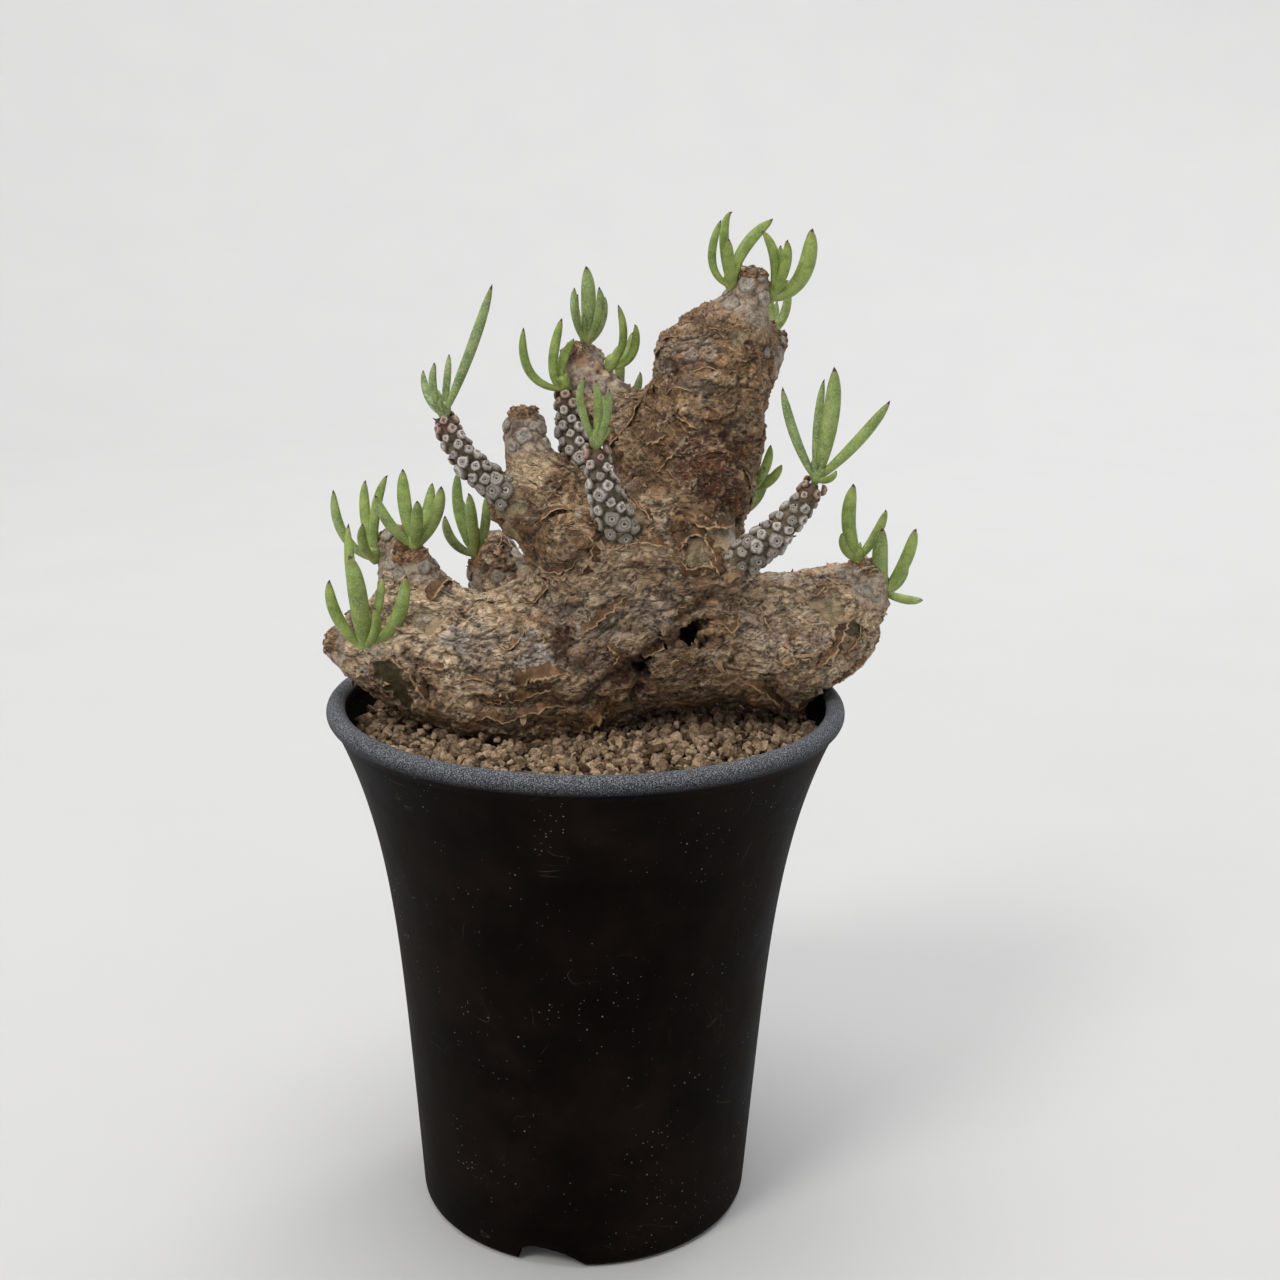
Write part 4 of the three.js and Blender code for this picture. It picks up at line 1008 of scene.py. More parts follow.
def bark_finish():
    """Grey-brown peeling bark: torn edges in pale orange, partly painted highlight, and olive,
    chalky and rusty patches, with painted shade in gaps, cracks, creases and hollows.
    """
    finish = Finish("peeling_bark")
    place = finish.place
    wavy = bark_place(finish, place)
    pale = finish.stored("pale")
    broad = finish.noise(place, 10 * MM, 4.0, 0.6)
    fine = finish.noise(wavy, 0.7 * MM, 6.0, 0.72)
    zone = finish.noise(place, 17 * MM, 3.0, 0.55)
    chips, chip_tone, chip_lip, chip_gap = finish.scales(wavy, 1.45 * MM)
    aside = finish.vector("ADD", wavy, (0.01, 0.02, 0.03))
    flecks, fleck_tone, fleck_lip, fleck_gap = finish.scales(aside, 0.72 * MM)

    share = finish.total(
        (chip_tone, 0.2), (broad, 0.6), (fine, 0.85), (fleck_tone, 0.2), (zone, 0.7),
        (finish.stored("scale"), 0.08),
    )
    colour = bark_browns(finish, finish.minus(share, 0.64), pale)
    greyer = finish.noise(place, 6 * MM, 3.0, 0.6)
    grey = finish.blend(finish.ramp(fine, 0.3, 0.7), (0.075, 0.05, 0.038), (0.54, 0.43, 0.34))
    smooth_grey = finish.times(finish.stored("grey"), 0.8)
    greyness = finish.most(finish.ramp(greyer, 0.5, 0.66, 0.0, 0.5), smooth_grey)
    colour = finish.blend(greyness, colour, grey)
    rusty = finish.noise(place, 4.5 * MM, 3.0, 0.6)
    colour = finish.blend(finish.ramp(rusty, 0.56, 0.7, 0.0, 0.45), colour, (0.24, 0.12, 0.055))

    red = finish.blend(finish.ramp(fine, 0.36, 0.66), (0.028, 0.0065, 0.002), (0.225, 0.072, 0.025))
    colour = finish.patch(colour, "red", 0.92, red)
    # The bark grows darker towards the soil
    damp = finish.blend(fine, (0.02, 0.009, 0.004), (0.13, 0.065, 0.028))
    colour = finish.patch(colour, "damp", 0.75, damp)

    mottle = finish.noise(place, 2.2 * MM, 6.0, 0.7)
    spread = finish.ramp(mottle, 0.34, 0.66)
    olive = finish.blend(spread, (0.09, 0.07, 0.03), (0.40, 0.30, 0.175))
    veil = finish.ramp(finish.noise(wavy, 3.2 * MM, 5.0, 0.65), 0.48, 0.62, 0.0, 0.7)
    brown = finish.blend(fine, (0.13, 0.07, 0.03), (0.46, 0.3, 0.17))
    olive = finish.blend(veil, olive, brown)
    # Painted shade in the gaps between the flecks
    olive = finish.blend(finish.times(fleck_gap, 0.6), olive, (0.05, 0.036, 0.015))
    dark_olive = finish.blend(spread, (0.02, 0.015, 0.004), (0.10, 0.076, 0.027))
    olive = finish.blend(finish.stored("dark"), olive, dark_olive)
    bare = finish.ramp(finish.stored("olive"), 0.4, 0.75)
    colour = finish.blend(finish.times(bare, 0.95), colour, olive)
    tan = finish.blend(spread, (0.26, 0.165, 0.085), (0.72, 0.55, 0.34))
    # Painted shade in the gaps between the flecks
    tan = finish.blend(finish.times(fleck_gap, 0.5), tan, (0.09, 0.05, 0.024))
    colour = finish.patch(colour, "tan", 0.85, tan)
    stub = finish.blend(spread, (0.09, 0.06, 0.04), (0.52, 0.42, 0.325))
    colour = finish.patch(colour, "stub", 0.85, stub)

    # Chalky patches, their own colour, except the one at (735, 541), which is painted light over a
    # patch in shade
    chalk = finish.times(finish.stored("chalk"), finish.ramp(fine, 0.36, 0.58))
    colour = finish.blend(chalk, colour, (0.52, 0.47, 0.43))
    rust = finish.blend(fine, (0.15, 0.062, 0.025), (0.48, 0.29, 0.17))
    colour = finish.patch(colour, "rust", 0.8, rust)
    torn = finish.blend(finish.ramp(fine, 0.36, 0.64), (0.05, 0.02, 0.01), (0.44, 0.24, 0.115))
    colour = finish.blend(finish.stored("torn"), colour, torn)

    covered = finish.minus(1.0, finish.most(bare, finish.stored("stub")))
    # The lifted edges are painted pale orange: partly the torn bark's own colour, partly painted
    # highlight where they stand up
    lip_tone = finish.ramp(finish.noise(place, 5 * MM, 2.0), 0.4, 0.62)
    lip_tint_and_highlight = finish.blend(lip_tone, (0.46, 0.26, 0.12), (0.62, 0.48, 0.32))
    small_lips = finish.most(finish.times(chip_lip, 0.7), finish.times(fleck_lip, 0.35))
    small_lips = finish.times(small_lips, covered)
    lip = finish.most(finish.ramp(finish.stored("lip"), 0.3, 0.85, 0.0, 0.85), small_lips)
    lip = finish.times(lip, finish.ramp(fine, 0.3, 0.5, 0.35, 1.0))
    colour = finish.blend(lip, colour, lip_tint_and_highlight)
    small_gap_shade = finish.most(finish.times(chip_gap, 0.7), finish.times(fleck_gap, 0.45))
    small_gap_shade = finish.times(small_gap_shade, covered)
    # Thin cracks, painted dark as shade, with a painted highlight along a ridge beside each
    path = finish.minus(finish.noise(wavy, 4.2 * MM, 4.0, 0.5), 0.5)
    shown = finish.ramp(finish.noise(place, 5 * MM, 2.0), 0.46, 0.6)
    shown = finish.times(shown, finish.times(covered, 0.7, 0.3))
    ridge = finish.times(finish.ramp(path, 0.006, 0.014), finish.fall(path, 0.016, 0.034))
    colour = finish.blend(finish.times(finish.times(ridge, shown), 0.55), colour, lip_tint_and_highlight)
    crack = finish.times(finish.fall(finish.math("ABSOLUTE", path), 0.003, 0.011), shown)
    # Painted shade: the gaps and the thin cracks are painted near black for the shade that lies in
    # them
    gap = finish.most(finish.stored("gap"), finish.most(small_gap_shade, crack))
    colour = finish.blend(finish.times(gap, 0.88), colour, (0.02, 0.009, 0.005))
    # Painted shade in the creases between the swellings
    crease_shade = finish.times(finish.stored("crease"), finish.ramp(fine, 0.3, 0.6, 0.85, 0.45))
    colour = finish.blend(crease_shade, colour, (0.045, 0.02, 0.011))
    # Painted shade: the sunk hollows are painted near black
    colour = finish.blend(finish.stored("hollow"), colour, (0.008, 0.004, 0.003))

    gloss = finish.most(finish.stored("olive"), finish.times(finish.stored("red"), 0.7))
    rough = finish.ramp(gloss, 0.0, 1.0, 0.66, 0.44)
    low = finish.bump(mottle, 0.4 * MM, strength=0.7)
    mid = finish.bump(finish.times(chips, covered), 0.4 * MM, low)
    top = finish.bump(finish.times(flecks, covered), 0.26 * MM, mid)
    skin = finish.bump(fine, 0.22 * MM, top)
    cracked = finish.bump(finish.minus(ridge, crack), 0.2 * MM, skin)
    return finish.dress(Base_Color=colour, Roughness=rough, Specular_IOR_Level=0.42, Normal=cracked)


# Loose flakes: thin curled plates of bark, held at one edge
FLAKE_COLUMNS = 5
FLAKE_HALF_THICKNESS = 0.022


def bark_flake(seed, rows, curl, wide):
    """A thin ragged plate, wide along X, that curls up along +Y from its held edge."""
    random = np.random.default_rng(seed)
    columns = FLAKE_COLUMNS
    curl = math.radians(curl * random.uniform(0.6, 1.3))
    roll = random.uniform(-0.4, 0.4)
    length = min(1.0, 0.5 / wide)
    width = wide * random.uniform(0.8, 1.15)
    width = width * (1 - random.uniform(0.1, 0.6) * np.linspace(0, 1, rows) ** 2)
    ragged = random.uniform(-0.11, 0.11, (rows, columns, 2)) * min(1, 1.4 * wide)
    end = random.uniform(0.6, 1.05, columns)
    end[0] *= 0.7
    end[-1] *= 0.8
    points, edge = [], []
    for above in (FLAKE_HALF_THICKNESS, -FLAKE_HALF_THICKNESS):
        for row in range(rows):
            for column in range(columns):
                across = 2 * column / (columns - 1) - 1
                along = row / (rows - 1) * end[column] - 0.12
                turn = curl * max(along, 0)
                reach = math.sin(turn) / curl + min(along, 0)
                lift = (1 - math.cos(turn)) / curl
                x = 0.5 * across * width[row] + ragged[row, column, 0] * 0.5
                y = reach + ragged[row, column, 1] * 0.4
                edge.append(float(abs(across) == 1 or row == rows - 1))
                z = (lift + above * (1 - 0.7 * edge[-1])) * length
                z += roll * (0.5 * across) ** 2 * width[row]
                points.append((x, y * length, z))
    size = rows * columns
    faces = []
    for row in range(rows - 1):
        for column in range(columns - 1):
            a = row * columns + column
            quad = [a, a + 1, a + columns + 1, a + columns]
            faces += [quad, [size + k for k in reversed(quad)]]
    rim = list(range(columns))
    rim += [row * columns + columns - 1 for row in range(1, rows)]
    rim += [(rows - 1) * columns + column for column in range(columns - 2, -1, -1)]
    rim += [row * columns for row in range(rows - 2, 0, -1)]
    for a, b in zip(rim, rim[1:] + rim[:1]):
        faces.append([b, a, size + a, size + b])
    under = [0.0] * size + [1.0] * size
    return outward(mesh_object("bark_flake", points, faces, edge=edge, under=under))


def flake_finish():
    """Dry papery bark: brown to tan by flake, pale orange at the torn edge, with painted shade
    underneath.
    """
    finish = Finish("loose_bark")
    pale = finish.times(finish.stored("pale"), 0.8)
    fine = finish.noise(finish.place, 0.8 * MM, 5.0, 0.7)
    share = finish.total((fine, 0.9), (finish.stored("tone"), 0.5))
    colour = bark_browns(finish, finish.minus(share, 0.3), pale)
    warm = finish.ramp(finish.stored("tone"), 0.75, 1.0, 0.0, 0.6)
    colour = finish.blend(warm, colour, (0.34, 0.185, 0.09))
    edge_tint = finish.blend(pale, (0.52, 0.34, 0.19), (0.70, 0.56, 0.39))
    edge = finish.ramp(finish.stored("edge"), 0.3, 0.95, 0.0, 0.85)
    colour = finish.blend(edge, colour, edge_tint)
    # Painted shade on the underside, which faces the bark
    below = finish.times(finish.ramp(finish.stored("under"), 0.6, 1.0), 0.6)
    colour = finish.blend(below, colour, (0.13, 0.06, 0.03))
    colour = finish.patch(colour, "damp", 0.55, (0.07, 0.032, 0.014))
    colour = finish.patch(colour, "red", 0.55, (0.09, 0.04, 0.024))
    colour = finish.blend(finish.ramp(fine, 0.3, 0.48, 0.75, 0.0), colour, (0.03, 0.015, 0.008))
    grain = finish.bump(fine, 0.22 * MM)
    return finish.dress(Base_Color=colour, Roughness=0.68, Specular_IOR_Level=0.4, Normal=grain)


FLAKE_WIDTHS = (1.5, 1.2, 1.7, 0.5, 1.4, 1.0, 1.6, 0.4, 1.8, 0.8)
CURL_WIDTHS = (0.9, 0.45, 1.2, 0.5, 0.7, 1.0)
FLAKES_LEFT_OUT = {"tan": 0.75, "red": 0.97, "damp": 0.8, "grey": 0.8}


def flake_tree(finish):
    """Strews flakes over the bark where it is not bare, each held at one edge and leaning out."""
    flakes = [bark_flake(seed, 3, 40, wide) for seed, wide in enumerate(FLAKE_WIDTHS)]
    tree = Tree("loose_flakes", {
        "Shapes": shelf("flakes", flakes), "Spacing": 2.0 * MM, "Smallest": 1.1 * MM,
        "Largest": 3.3 * MM, "Turn": 0.85, "Least lean": -4.0, "Most lean": 12.0,
        "Lift": 0.02 * MM, "Seed": 1, "Finish": finish,
    })
    inputs = tree.inputs
    bare = tree.most(
        tree.ramp(tree.stored("olive"), 0.3, 0.7),
        tree.ramp(tree.stored("hollow"), 0.2, 0.5),
        *[tree.times(tree.stored(kind), share) for kind, share in FLAKES_LEFT_OUT.items()],
        tree.ramp(tree.stored("stub"), 0.2, 0.6, 0.0, 0.97),
    )
    cloud = tree.noise(tree.add("GeometryNodeInputPosition"), 9 * MM, 3.0)
    cover = tree.times(tree.minus(1.0, bare), tree.ramp(cloud, 0.42, 0.6, 0.06, 1.0))
    cover = tree.times(cover, tree.ramp(tree.stored("lip"), 0.1, 0.6, 0.55, 1.0))
    spots = tree.add("GeometryNodeDistributePointsOnFaces", {
        "Mesh": inputs["Geometry"], "Distance Min": inputs["Spacing"], "Density Max": 250000.0,
        "Density Factor": cover, "Seed": inputs["Seed"],
    }, distribute_method="POISSON")
    normal = tree.stored("soft_normal", "FLOAT_VECTOR")
    spots = tree.moved(spots, tree.scaled(normal, inputs["Lift"]))
    spots = tree.store(spots, "tone", tree.random(0.0, 1.0, 3))
    across = tree.vector("CROSS_PRODUCT", (0, 0, 1), normal)
    level = {"Rotation": tree.upright(normal), "Vector": across}
    turn = tree.add("FunctionNodeAlignRotationToVector", level, axis="X", pivot_axis="Z")
    half = tree.times(tree.random(0, 1, 8, "INT"), math.pi)
    stray = tree.times(tree.random(-1.0, 1.0, 4), inputs["Turn"])
    turn = tree.turned(turn, tree.math("ADD", half, stray))
    lean = tree.random(inputs["Least lean"], inputs["Most lean"], 5)
    turn = tree.turned(turn, tree.math("RADIANS", lean), (1, 0, 0))
    chance = tree.math("POWER", tree.random(0.0, 1.0, 6), 2.2)
    span = tree.minus(inputs["Largest"], inputs["Smallest"])
    size = tree.times(chance, span, inputs["Smallest"])
    size = tree.add("ShaderNodeCombineXYZ", {0: size, 1: size, 2: size})
    which = tree.random(0, 999, inputs["Seed"], "INT")
    tree.end(tree.set_out(spots, inputs["Shapes"], which, turn, size))
    return tree


def make_flakes(caudex):
    """Small flakes, close together, and longer curled ones, far apart."""
    tree = flake_tree(flake_finish())
    small = tree.grow_on(caudex, "small_flakes")
    curls = [bark_flake(seed, 6, 95, wide) for seed, wide in enumerate(CURL_WIDTHS, 20)]
    large = tree.grow_on(caudex, "curled_flakes", {
        "Shapes": shelf("curls", curls), "Spacing": 8.5 * MM, "Smallest": 2.0 * MM,
        "Largest": 5.0 * MM, "Most lean": 18.0, "Lift": 0.06 * MM, "Seed": 5, "Turn": 1.2,
    })
    return small, large


# Shoots: a stem along a path, set in a spiral with the cups that old leaves stood in
SHOOTS = {
    "shoot_left": (
        ((-18, -4, 54.5), (-22, -5, 58.5), (-26, -7, 62.5), (-29.5, -8, 68), (-31.3, -8, 72.5)),
        3.1, 2.2,
    ),
    "shoot_middle": (((0, 6, 57), (-3, 7, 63), (-4.6, 8, 70), (-5.6, 8, 76.5)), 3.6, 2.3),
    "shoot_front": (((7.5, -10, 48), (5, -13, 55), (2.9, -15, 61.5), (2.2, -15, 67.2)), 4.2, 2.3),
    "shoot_right": (
        ((33, -6, 40), (40, -10, 46.5), (44, -11, 51), (47.5, -12, 55.5), (49.8, -12, 59.8)),
        3.9, 2.3,
    ),
    "shoot_back": (((10, 18, 52), (9, 23, 57), (6.5, 27, 62), (5.5, 28.5, 68)), 3.8, 2.3),
}
SHOOT_TAPER = 0.83
SHOOT_STATIONS = 24
SPIRAL_TURN = math.radians(137.5)
# Outline of a leaf cup: radius, height and place on it (0 foot, 1 rim, 2 middle of the hollow)
CUP_OUTLINE = (
    (1.8, -0.6, 0), (1.75, 0.05, 0.1), (1.52, 0.66, 0.5), (1.2, 1.02, 0.85), (0.92, 1.08, 1.0),
    (0.74, 0.86, 1.2), (0.52, 0.9, 1.5), (0.26, 0.66, 1.8),
)
# Outline of a dry point: place along it and width, as shares of its length and of its greatest
DRY_LENGTH = 1.7 * MM
DRY_OUTLINE = ((-0.25, 0.8), (0.15, 0.9), (0.5, 0.62), (0.8, 0.32))


def smooth_line(points, count):
    """A smooth line through the points, with evenly spread stations."""
    points = np.array(points, float)
    ends = np.vstack([2 * points[0] - points[1], points, 2 * points[-1] - points[-2]])
    line = []
    for k in range(len(points) - 1):
        a, b, c, d = ends[k : k + 4]
        for t in np.arange(0, 1, 0.08):
            bend = (2 * a - 5 * b + 4 * c - d) * t * t + (3 * b - a - 3 * c + d) * t ** 3
            line.append(0.5 * (2 * b + (c - a) * t + bend))
    line = np.array(line + [points[-1]])
    run = np.concatenate([[0], np.cumsum(norms(np.diff(line, axis=0)))])
    even = np.linspace(0, run[-1], count)
    return np.stack([np.interp(even, run, line[:, axis]) for axis in range(3)], axis=1)


def leaf_cup(seed):
    """A low whitish cup with a rim and a sunken middle, slightly out of round."""
    sides = 8
    random = np.random.default_rng(seed)
    corner = random.uniform(0.87, 1.1, sides)
    tilt = random.uniform(-0.12, 0.12, 2)
    points, places = [], []
    for radius, height, place in CUP_OUTLINE:
        for side in range(sides):
            turn = 2 * math.pi * (side + 0.2 * math.sin(3 * side + seed)) / sides
            reach = radius * (1 + (corner[side] - 1) * min(1, radius))
            x, y = reach * math.cos(turn), reach * math.sin(turn)
            lean = 1 + tilt[0] * math.cos(turn) + tilt[1] * math.sin(turn)
            points.append((x * MM, y * MM, height * lean * MM))
            places.append(place)
    rings = len(CUP_OUTLINE)
    points += [(0, 0, CUP_OUTLINE[0][1] * MM), (0, 0, 0.7 * MM)]
    places += [0, 2]
    faces = []
    for side in range(sides):
        beside = (side + 1) % sides
        faces += side_faces(side, sides, rings)
        faces.append([len(points) - 2, beside, side])
        faces.append([len(points) - 1, (rings - 1) * sides + side, (rings - 1) * sides + beside])
    return outward(mesh_object("leaf_cup", points, faces, rim=places, dry=np.zeros(len(points))))


def dry_scale(seed):
    """A thin curled point, left by a shed leaf or standing round a bud."""
    random = np.random.default_rng(seed)
    length, sides, bend = DRY_LENGTH, 5, random.uniform(0.1, 0.5)
    points = []
    rings = len(DRY_OUTLINE)
    for t, width in DRY_OUTLINE:
        for side in range(sides):
            turn = 2 * math.pi * side / sides
            across = 0.24 * length * width * math.cos(turn)
            thick = 0.12 * length * width * math.sin(turn) + bend * length * t * t * 0.6
            points.append((across, thick, t * length))
    points += [(0, bend * length * 0.6, length), (0, 0, -0.3 * length)]
    faces = []
    for side in range(sides):
        beside = (side + 1) % sides
        faces += side_faces(side, sides, rings)
        faces.append([len(points) - 2, (rings - 1) * sides + beside, (rings - 1) * sides + side])
        faces.append([len(points) - 1, side, beside])
    ones = np.ones(len(points))
    return outward(mesh_object("dry_scale", points, faces, rim=0 * ones, dry=ones))


def shoot_skin():
    """Grey-green skin under whitish cups with dark hollows, pinkish brown towards the tip. The skin
    between the cups and the cups' feet are dark: partly their own colour, partly painted shade of
    the crevices.
    """
    finish = Finish("shoot_skin")
    place, rim, along = finish.place, finish.stored("rim"), finish.stored("along")
    mottle = finish.noise(place, 1.6 * MM, 5.0, 0.65)
    fine = finish.noise(place, 0.5 * MM, 4.0, 0.7)
    young = finish.ramp(along, 0.80, 0.93)
    aged = finish.fall(along, 0.15, 0.5)
    tone = finish.stored("tone")

    uneven = finish.ramp(mottle, 0.35, 0.62)
    # Dark skin between the cups and at their feet: partly its own colour, partly painted shade of
    # the crevices
    skin = finish.blend(uneven, (0.042, 0.030, 0.016), (0.17, 0.135, 0.085))
    skin = finish.blend(finish.times(young, 0.7), skin, (0.12, 0.062, 0.038))
    grey = finish.blend(aged, (0.27, 0.24, 0.21), (0.17, 0.145, 0.115))
    side = finish.blend(finish.times(young, 0.85), grey, (0.24, 0.135, 0.1))
    top = finish.blend(aged, (0.62, 0.58, 0.53), (0.38, 0.345, 0.3))
    top = finish.blend(finish.times(young, 0.8), top, (0.46, 0.3, 0.23))
    top = finish.blend(finish.ramp(tone, 0.3, 1.0, 0.0, 0.85), top, grey)
    colour = finish.blend(finish.ramp(rim, 0.04, 0.3), skin, side)
    colour = finish.blend(finish.ramp(rim, 0.2, 0.8), colour, top)
    shown = finish.minus(1.0, finish.times(finish.stored("faint"), 0.65))
    groove = finish.times(finish.ramp(rim, 1.06, 1.18, 0.0, 0.75), shown)
    colour = finish.blend(groove, colour, (0.10, 0.07, 0.05))
    inner = finish.blend(young, (0.46, 0.42, 0.37), (0.34, 0.19, 0.13))
    colour = finish.blend(finish.ramp(rim, 1.26, 1.42), colour, inner)
    middle = finish.times(finish.ramp(rim, 1.62, 1.85), shown)
    colour = finish.blend(middle, colour, (0.07, 0.045, 0.03))
    worn = finish.blend(uneven, (0.12, 0.085, 0.06), (0.44, 0.37, 0.29))
    colour = finish.patch(colour, "faint", 0.62, worn)
    colour = finish.blend(finish.ramp(fine, 0.3, 0.54, 0.8, 0.0), colour, (0.08, 0.062, 0.045))
    dry = finish.blend(fine, (0.02, 0.009, 0.006), (0.11, 0.055, 0.035))
    colour = finish.blend(finish.stored("dry"), colour, dry)
    grain = finish.bump(fine, 0.16 * MM, finish.bump(mottle, 0.3 * MM, strength=0.8), 0.8)
    return finish.dress(Base_Color=colour, Roughness=0.72, Specular_IOR_Level=0.35, Normal=grain)


def shoot_tree():
    """Sweeps the stem along its line and winds cups and dry points round it in a spiral."""
    tree = Tree("knobbly_shoot", {
        "Cups": shelf("leaf_cups", [leaf_cup(seed) for seed in range(5)]),
        "Dry points": shelf("dry_points", [dry_scale(seed) for seed in range(4)]),
        "Foot radius": 3.6 * MM, "Tip radius": 2.3 * MM, "Cup spacing": 0.43 * MM,
        "Dry point spacing": 0.85 * MM, "Seed": 1, "Finish": shoot_skin(),
    })
    inputs = tree.inputs
    line = tree.add("GeometryNodeMeshToCurve", {0: inputs["Geometry"]})
    line = tree.add("GeometryNodeResampleCurve", {"Curve": line, "Count": 64})
    line = tree.store(line, "along", tree.add("GeometryNodeSplineParameter"))
    along = tree.stored("along")
    taper = {"Value": along, "From Min": 0.0, "From Max": SHOOT_TAPER}
    taper.update({"To Min": inputs["Foot radius"], "To Max": inputs["Tip radius"]})
    radius = tree.add("ShaderNodeMapRange", taper)
    capped = tree.times(radius, tree.ramp(along, 0.93, 1.0, 1.0, 0.4))
    ring = tree.add("GeometryNodeCurvePrimitiveCircle", {"Resolution": 24, "Radius": 1.0})
    place = tree.add("GeometryNodeInputPosition")
    rough = tree.times(tree.minus(tree.noise(place, 1.7 * MM, 4.0, 0.6), 0.5), 1.3 * MM)
    push = tree.scaled(tree.add("GeometryNodeInputNormal"), rough)
    stem = tree.moved(tree.sweep(line, ring, capped), push)

    def wound(shapes, spacing, start, lean, size):
        """One set of pieces, wound round the stem from a starting angle."""
        length = tree.add("GeometryNodeCurveLength", {0: line})
        count = tree.math("DIVIDE", length, spacing)
        spots = tree.add("GeometryNodeCurveToPoints", {"Curve": line, "Count": count}).node
        ahead = spots.outputs["Tangent"]
        number = tree.add("GeometryNodeInputIndex")
        jitter = tree.random(-0.16, 0.16, inputs["Seed"])
        angle = tree.times(number, SPIRAL_TURN, tree.math("ADD", start, jitter))
        turn = {"Vector": spots.outputs["Normal"], "Axis": ahead, "Angle": angle}
        out = tree.add("ShaderNodeVectorRotate", turn, rotation_type="AXIS_ANGLE")
        facing = tree.vector("ADD", out, tree.scaled(ahead, lean))
        points = tree.store(spots.outputs["Points"], "out", out, "FLOAT_VECTOR")
        points = tree.store(points, "facing", facing, "FLOAT_VECTOR")
        offset = tree.scaled(tree.stored("out", "FLOAT_VECTOR"), radius)
        points = tree.moved(points, offset)
        points = tree.store(points, "tone", tree.random(0.0, 1.0, inputs["Seed"]))
        upright = tree.upright(tree.stored("facing", "FLOAT_VECTOR"))
        which = tree.random(0, 19, inputs["Seed"], "INT")
        share = tree.times(tree.ramp(along, 0.0, 1.0, 1.1, 0.68), tree.random(0.74, 1.22, 7))
        low = tree.times(share, tree.ramp(along, 0.1, 0.5, 0.55, 1.0))
        scale = tree.add("ShaderNodeCombineXYZ", {0: share, 1: share, 2: low})
        return tree.set_out(points, shapes, which, upright, tree.scaled(scale, size))

    cups = wound(inputs["Cups"], inputs["Cup spacing"], 0.0, 0.3, 0.98)
    points = wound(inputs["Dry points"], inputs["Dry point spacing"], 1.2, 1.1, 1.0)
    tree.end(tree.joined(stem, cups, points))
    return tree


def make_shoots():
    """Every shoot, each with cups of its own choice and size."""
    tree = shoot_tree()
    for number, (name, (path, foot, tip)) in enumerate(SHOOTS.items()):
        line = [plant(point) for point in smooth_line(path, SHOOT_STATIONS)]
        start = line_object(name + "_line", [line])
        changes = {"Foot radius": foot * MM, "Tip radius": tip * MM, "Seed": number + 3}
        shoot = tree.grow_on(start, "knobbly_" + name, changes)
        discard(start)
        ride(shoot, "shoot_bark", name)


# Long torn edges that the photograph shows: width in millimetres, and its pixels along the edge
TORN_EDGES = (
    (1.1, ((362, 684), (374, 687), (386, 692), (398, 697))),
    (1.2, ((374, 706), (392, 711), (412, 712), (432, 716))),
    (1.7, ((388, 652), (406, 669), (417, 684), (431, 704))),
    (1.7, ((419, 664), (434, 666), (451, 666))),
    (1.0, ((463, 679), (479, 680), (497, 685))),
    (1.4, ((472, 724), (489, 714), (504, 720), (532, 711), (551, 706), (575, 707))),
    (1.3, ((489, 699), (512, 698), (536, 693), (563, 684))),
    (2.0, ((514, 685), (529, 677), (547, 674), (568, 672))),
    (1.9, ((430, 602), (437, 590), (444, 580), (453, 583))),
    (1.5, ((451, 606), (463, 613), (477, 602), (500, 603), (518, 598))),
    (1.4, ((497, 643), (510, 648), (521, 636), (526, 628))),
    (1.3, ((536, 560), (550, 571), (569, 568), (582, 553))),
    (1.4, ((558, 531), (575, 526), (590, 536), (595, 551), (588, 568), (576, 576))),
    (1.3, ((540, 521), (556, 510), (577, 511))),
    (1.2, ((521, 594), (531, 603), (544, 592), (549, 581), (534, 572))),
    (1.6, ((606, 644), (620, 655), (612, 668))),
    (1.5, ((580, 637), (595, 622), (616, 604), (628, 594))),
    (1.1, ((478, 694), (492, 702), (506, 696))),
    (2.2, ((647, 357), (652, 349), (660, 343))),
    (1.6, ((664, 342), (671, 337), (680, 337))),
    (1.7, ((634, 386), (641, 382), (647, 389))),
    (1.8, ((643, 443), (655, 438), (669, 435))),
    (1.3, ((677, 416), (687, 421), (699, 429))),
    (1.9, ((690, 521), (707, 525), (725, 525), (742, 518))),
    (1.4, ((630, 496), (643, 511), (659, 529))),
    (1.8, ((678, 556), (681, 540), (697, 533), (711, 546), (719, 563), (720, 571))),
    (1.4, ((719, 571), (704, 568), (688, 571), (679, 558))),
    (2.1, ((708, 558), (717, 566), (722, 577))),
    (1.5, ((600, 551), (619, 545), (645, 542), (671, 547))),
    (1.9, ((717, 578), (733, 584), (748, 580), (759, 575))),
    (1.4, ((668, 617), (684, 603), (704, 597))),
    (1.4, ((760, 602), (768, 622), (780, 642))),
    (1.3, ((768, 653), (787, 662), (806, 656), (817, 672))),
    (1.5, ((816, 667), (831, 653), (841, 634), (851, 611))),
    (1.4, ((862, 618), (857, 640), (843, 657))),
    (1.8, ((810, 599), (822, 589), (835, 580))),
    (1.6, ((830, 688), (847, 680), (861, 668), (874, 653))),
    (1.7, ((742, 681), (762, 687), (776, 699), (800, 706), (826, 708))),
    (2.6, ((573, 731), (588, 722), (601, 712), (620, 702), (635, 689))),
    (1.6, ((641, 654), (655, 651), (663, 643))),
    (1.3, ((722, 622), (733, 631), (738, 610))),
    (1.4, ((745, 468), (750, 486), (748, 510))),
    (1.5, ((606, 452), (619, 435), (633, 418), (642, 395))),
    (1.3, ((655, 476), (668, 458), (684, 444))),
    (1.3, ((690, 372), (706, 366), (722, 372))),
    (1.2, ((664, 396), (676, 386), (692, 392))),
    (1.3, ((700, 455), (716, 448), (735, 452))),
    (1.5, ((560, 398), (572, 402), (590, 396))),
    (1.3, ((505, 528), (500, 548), (508, 570))),
)
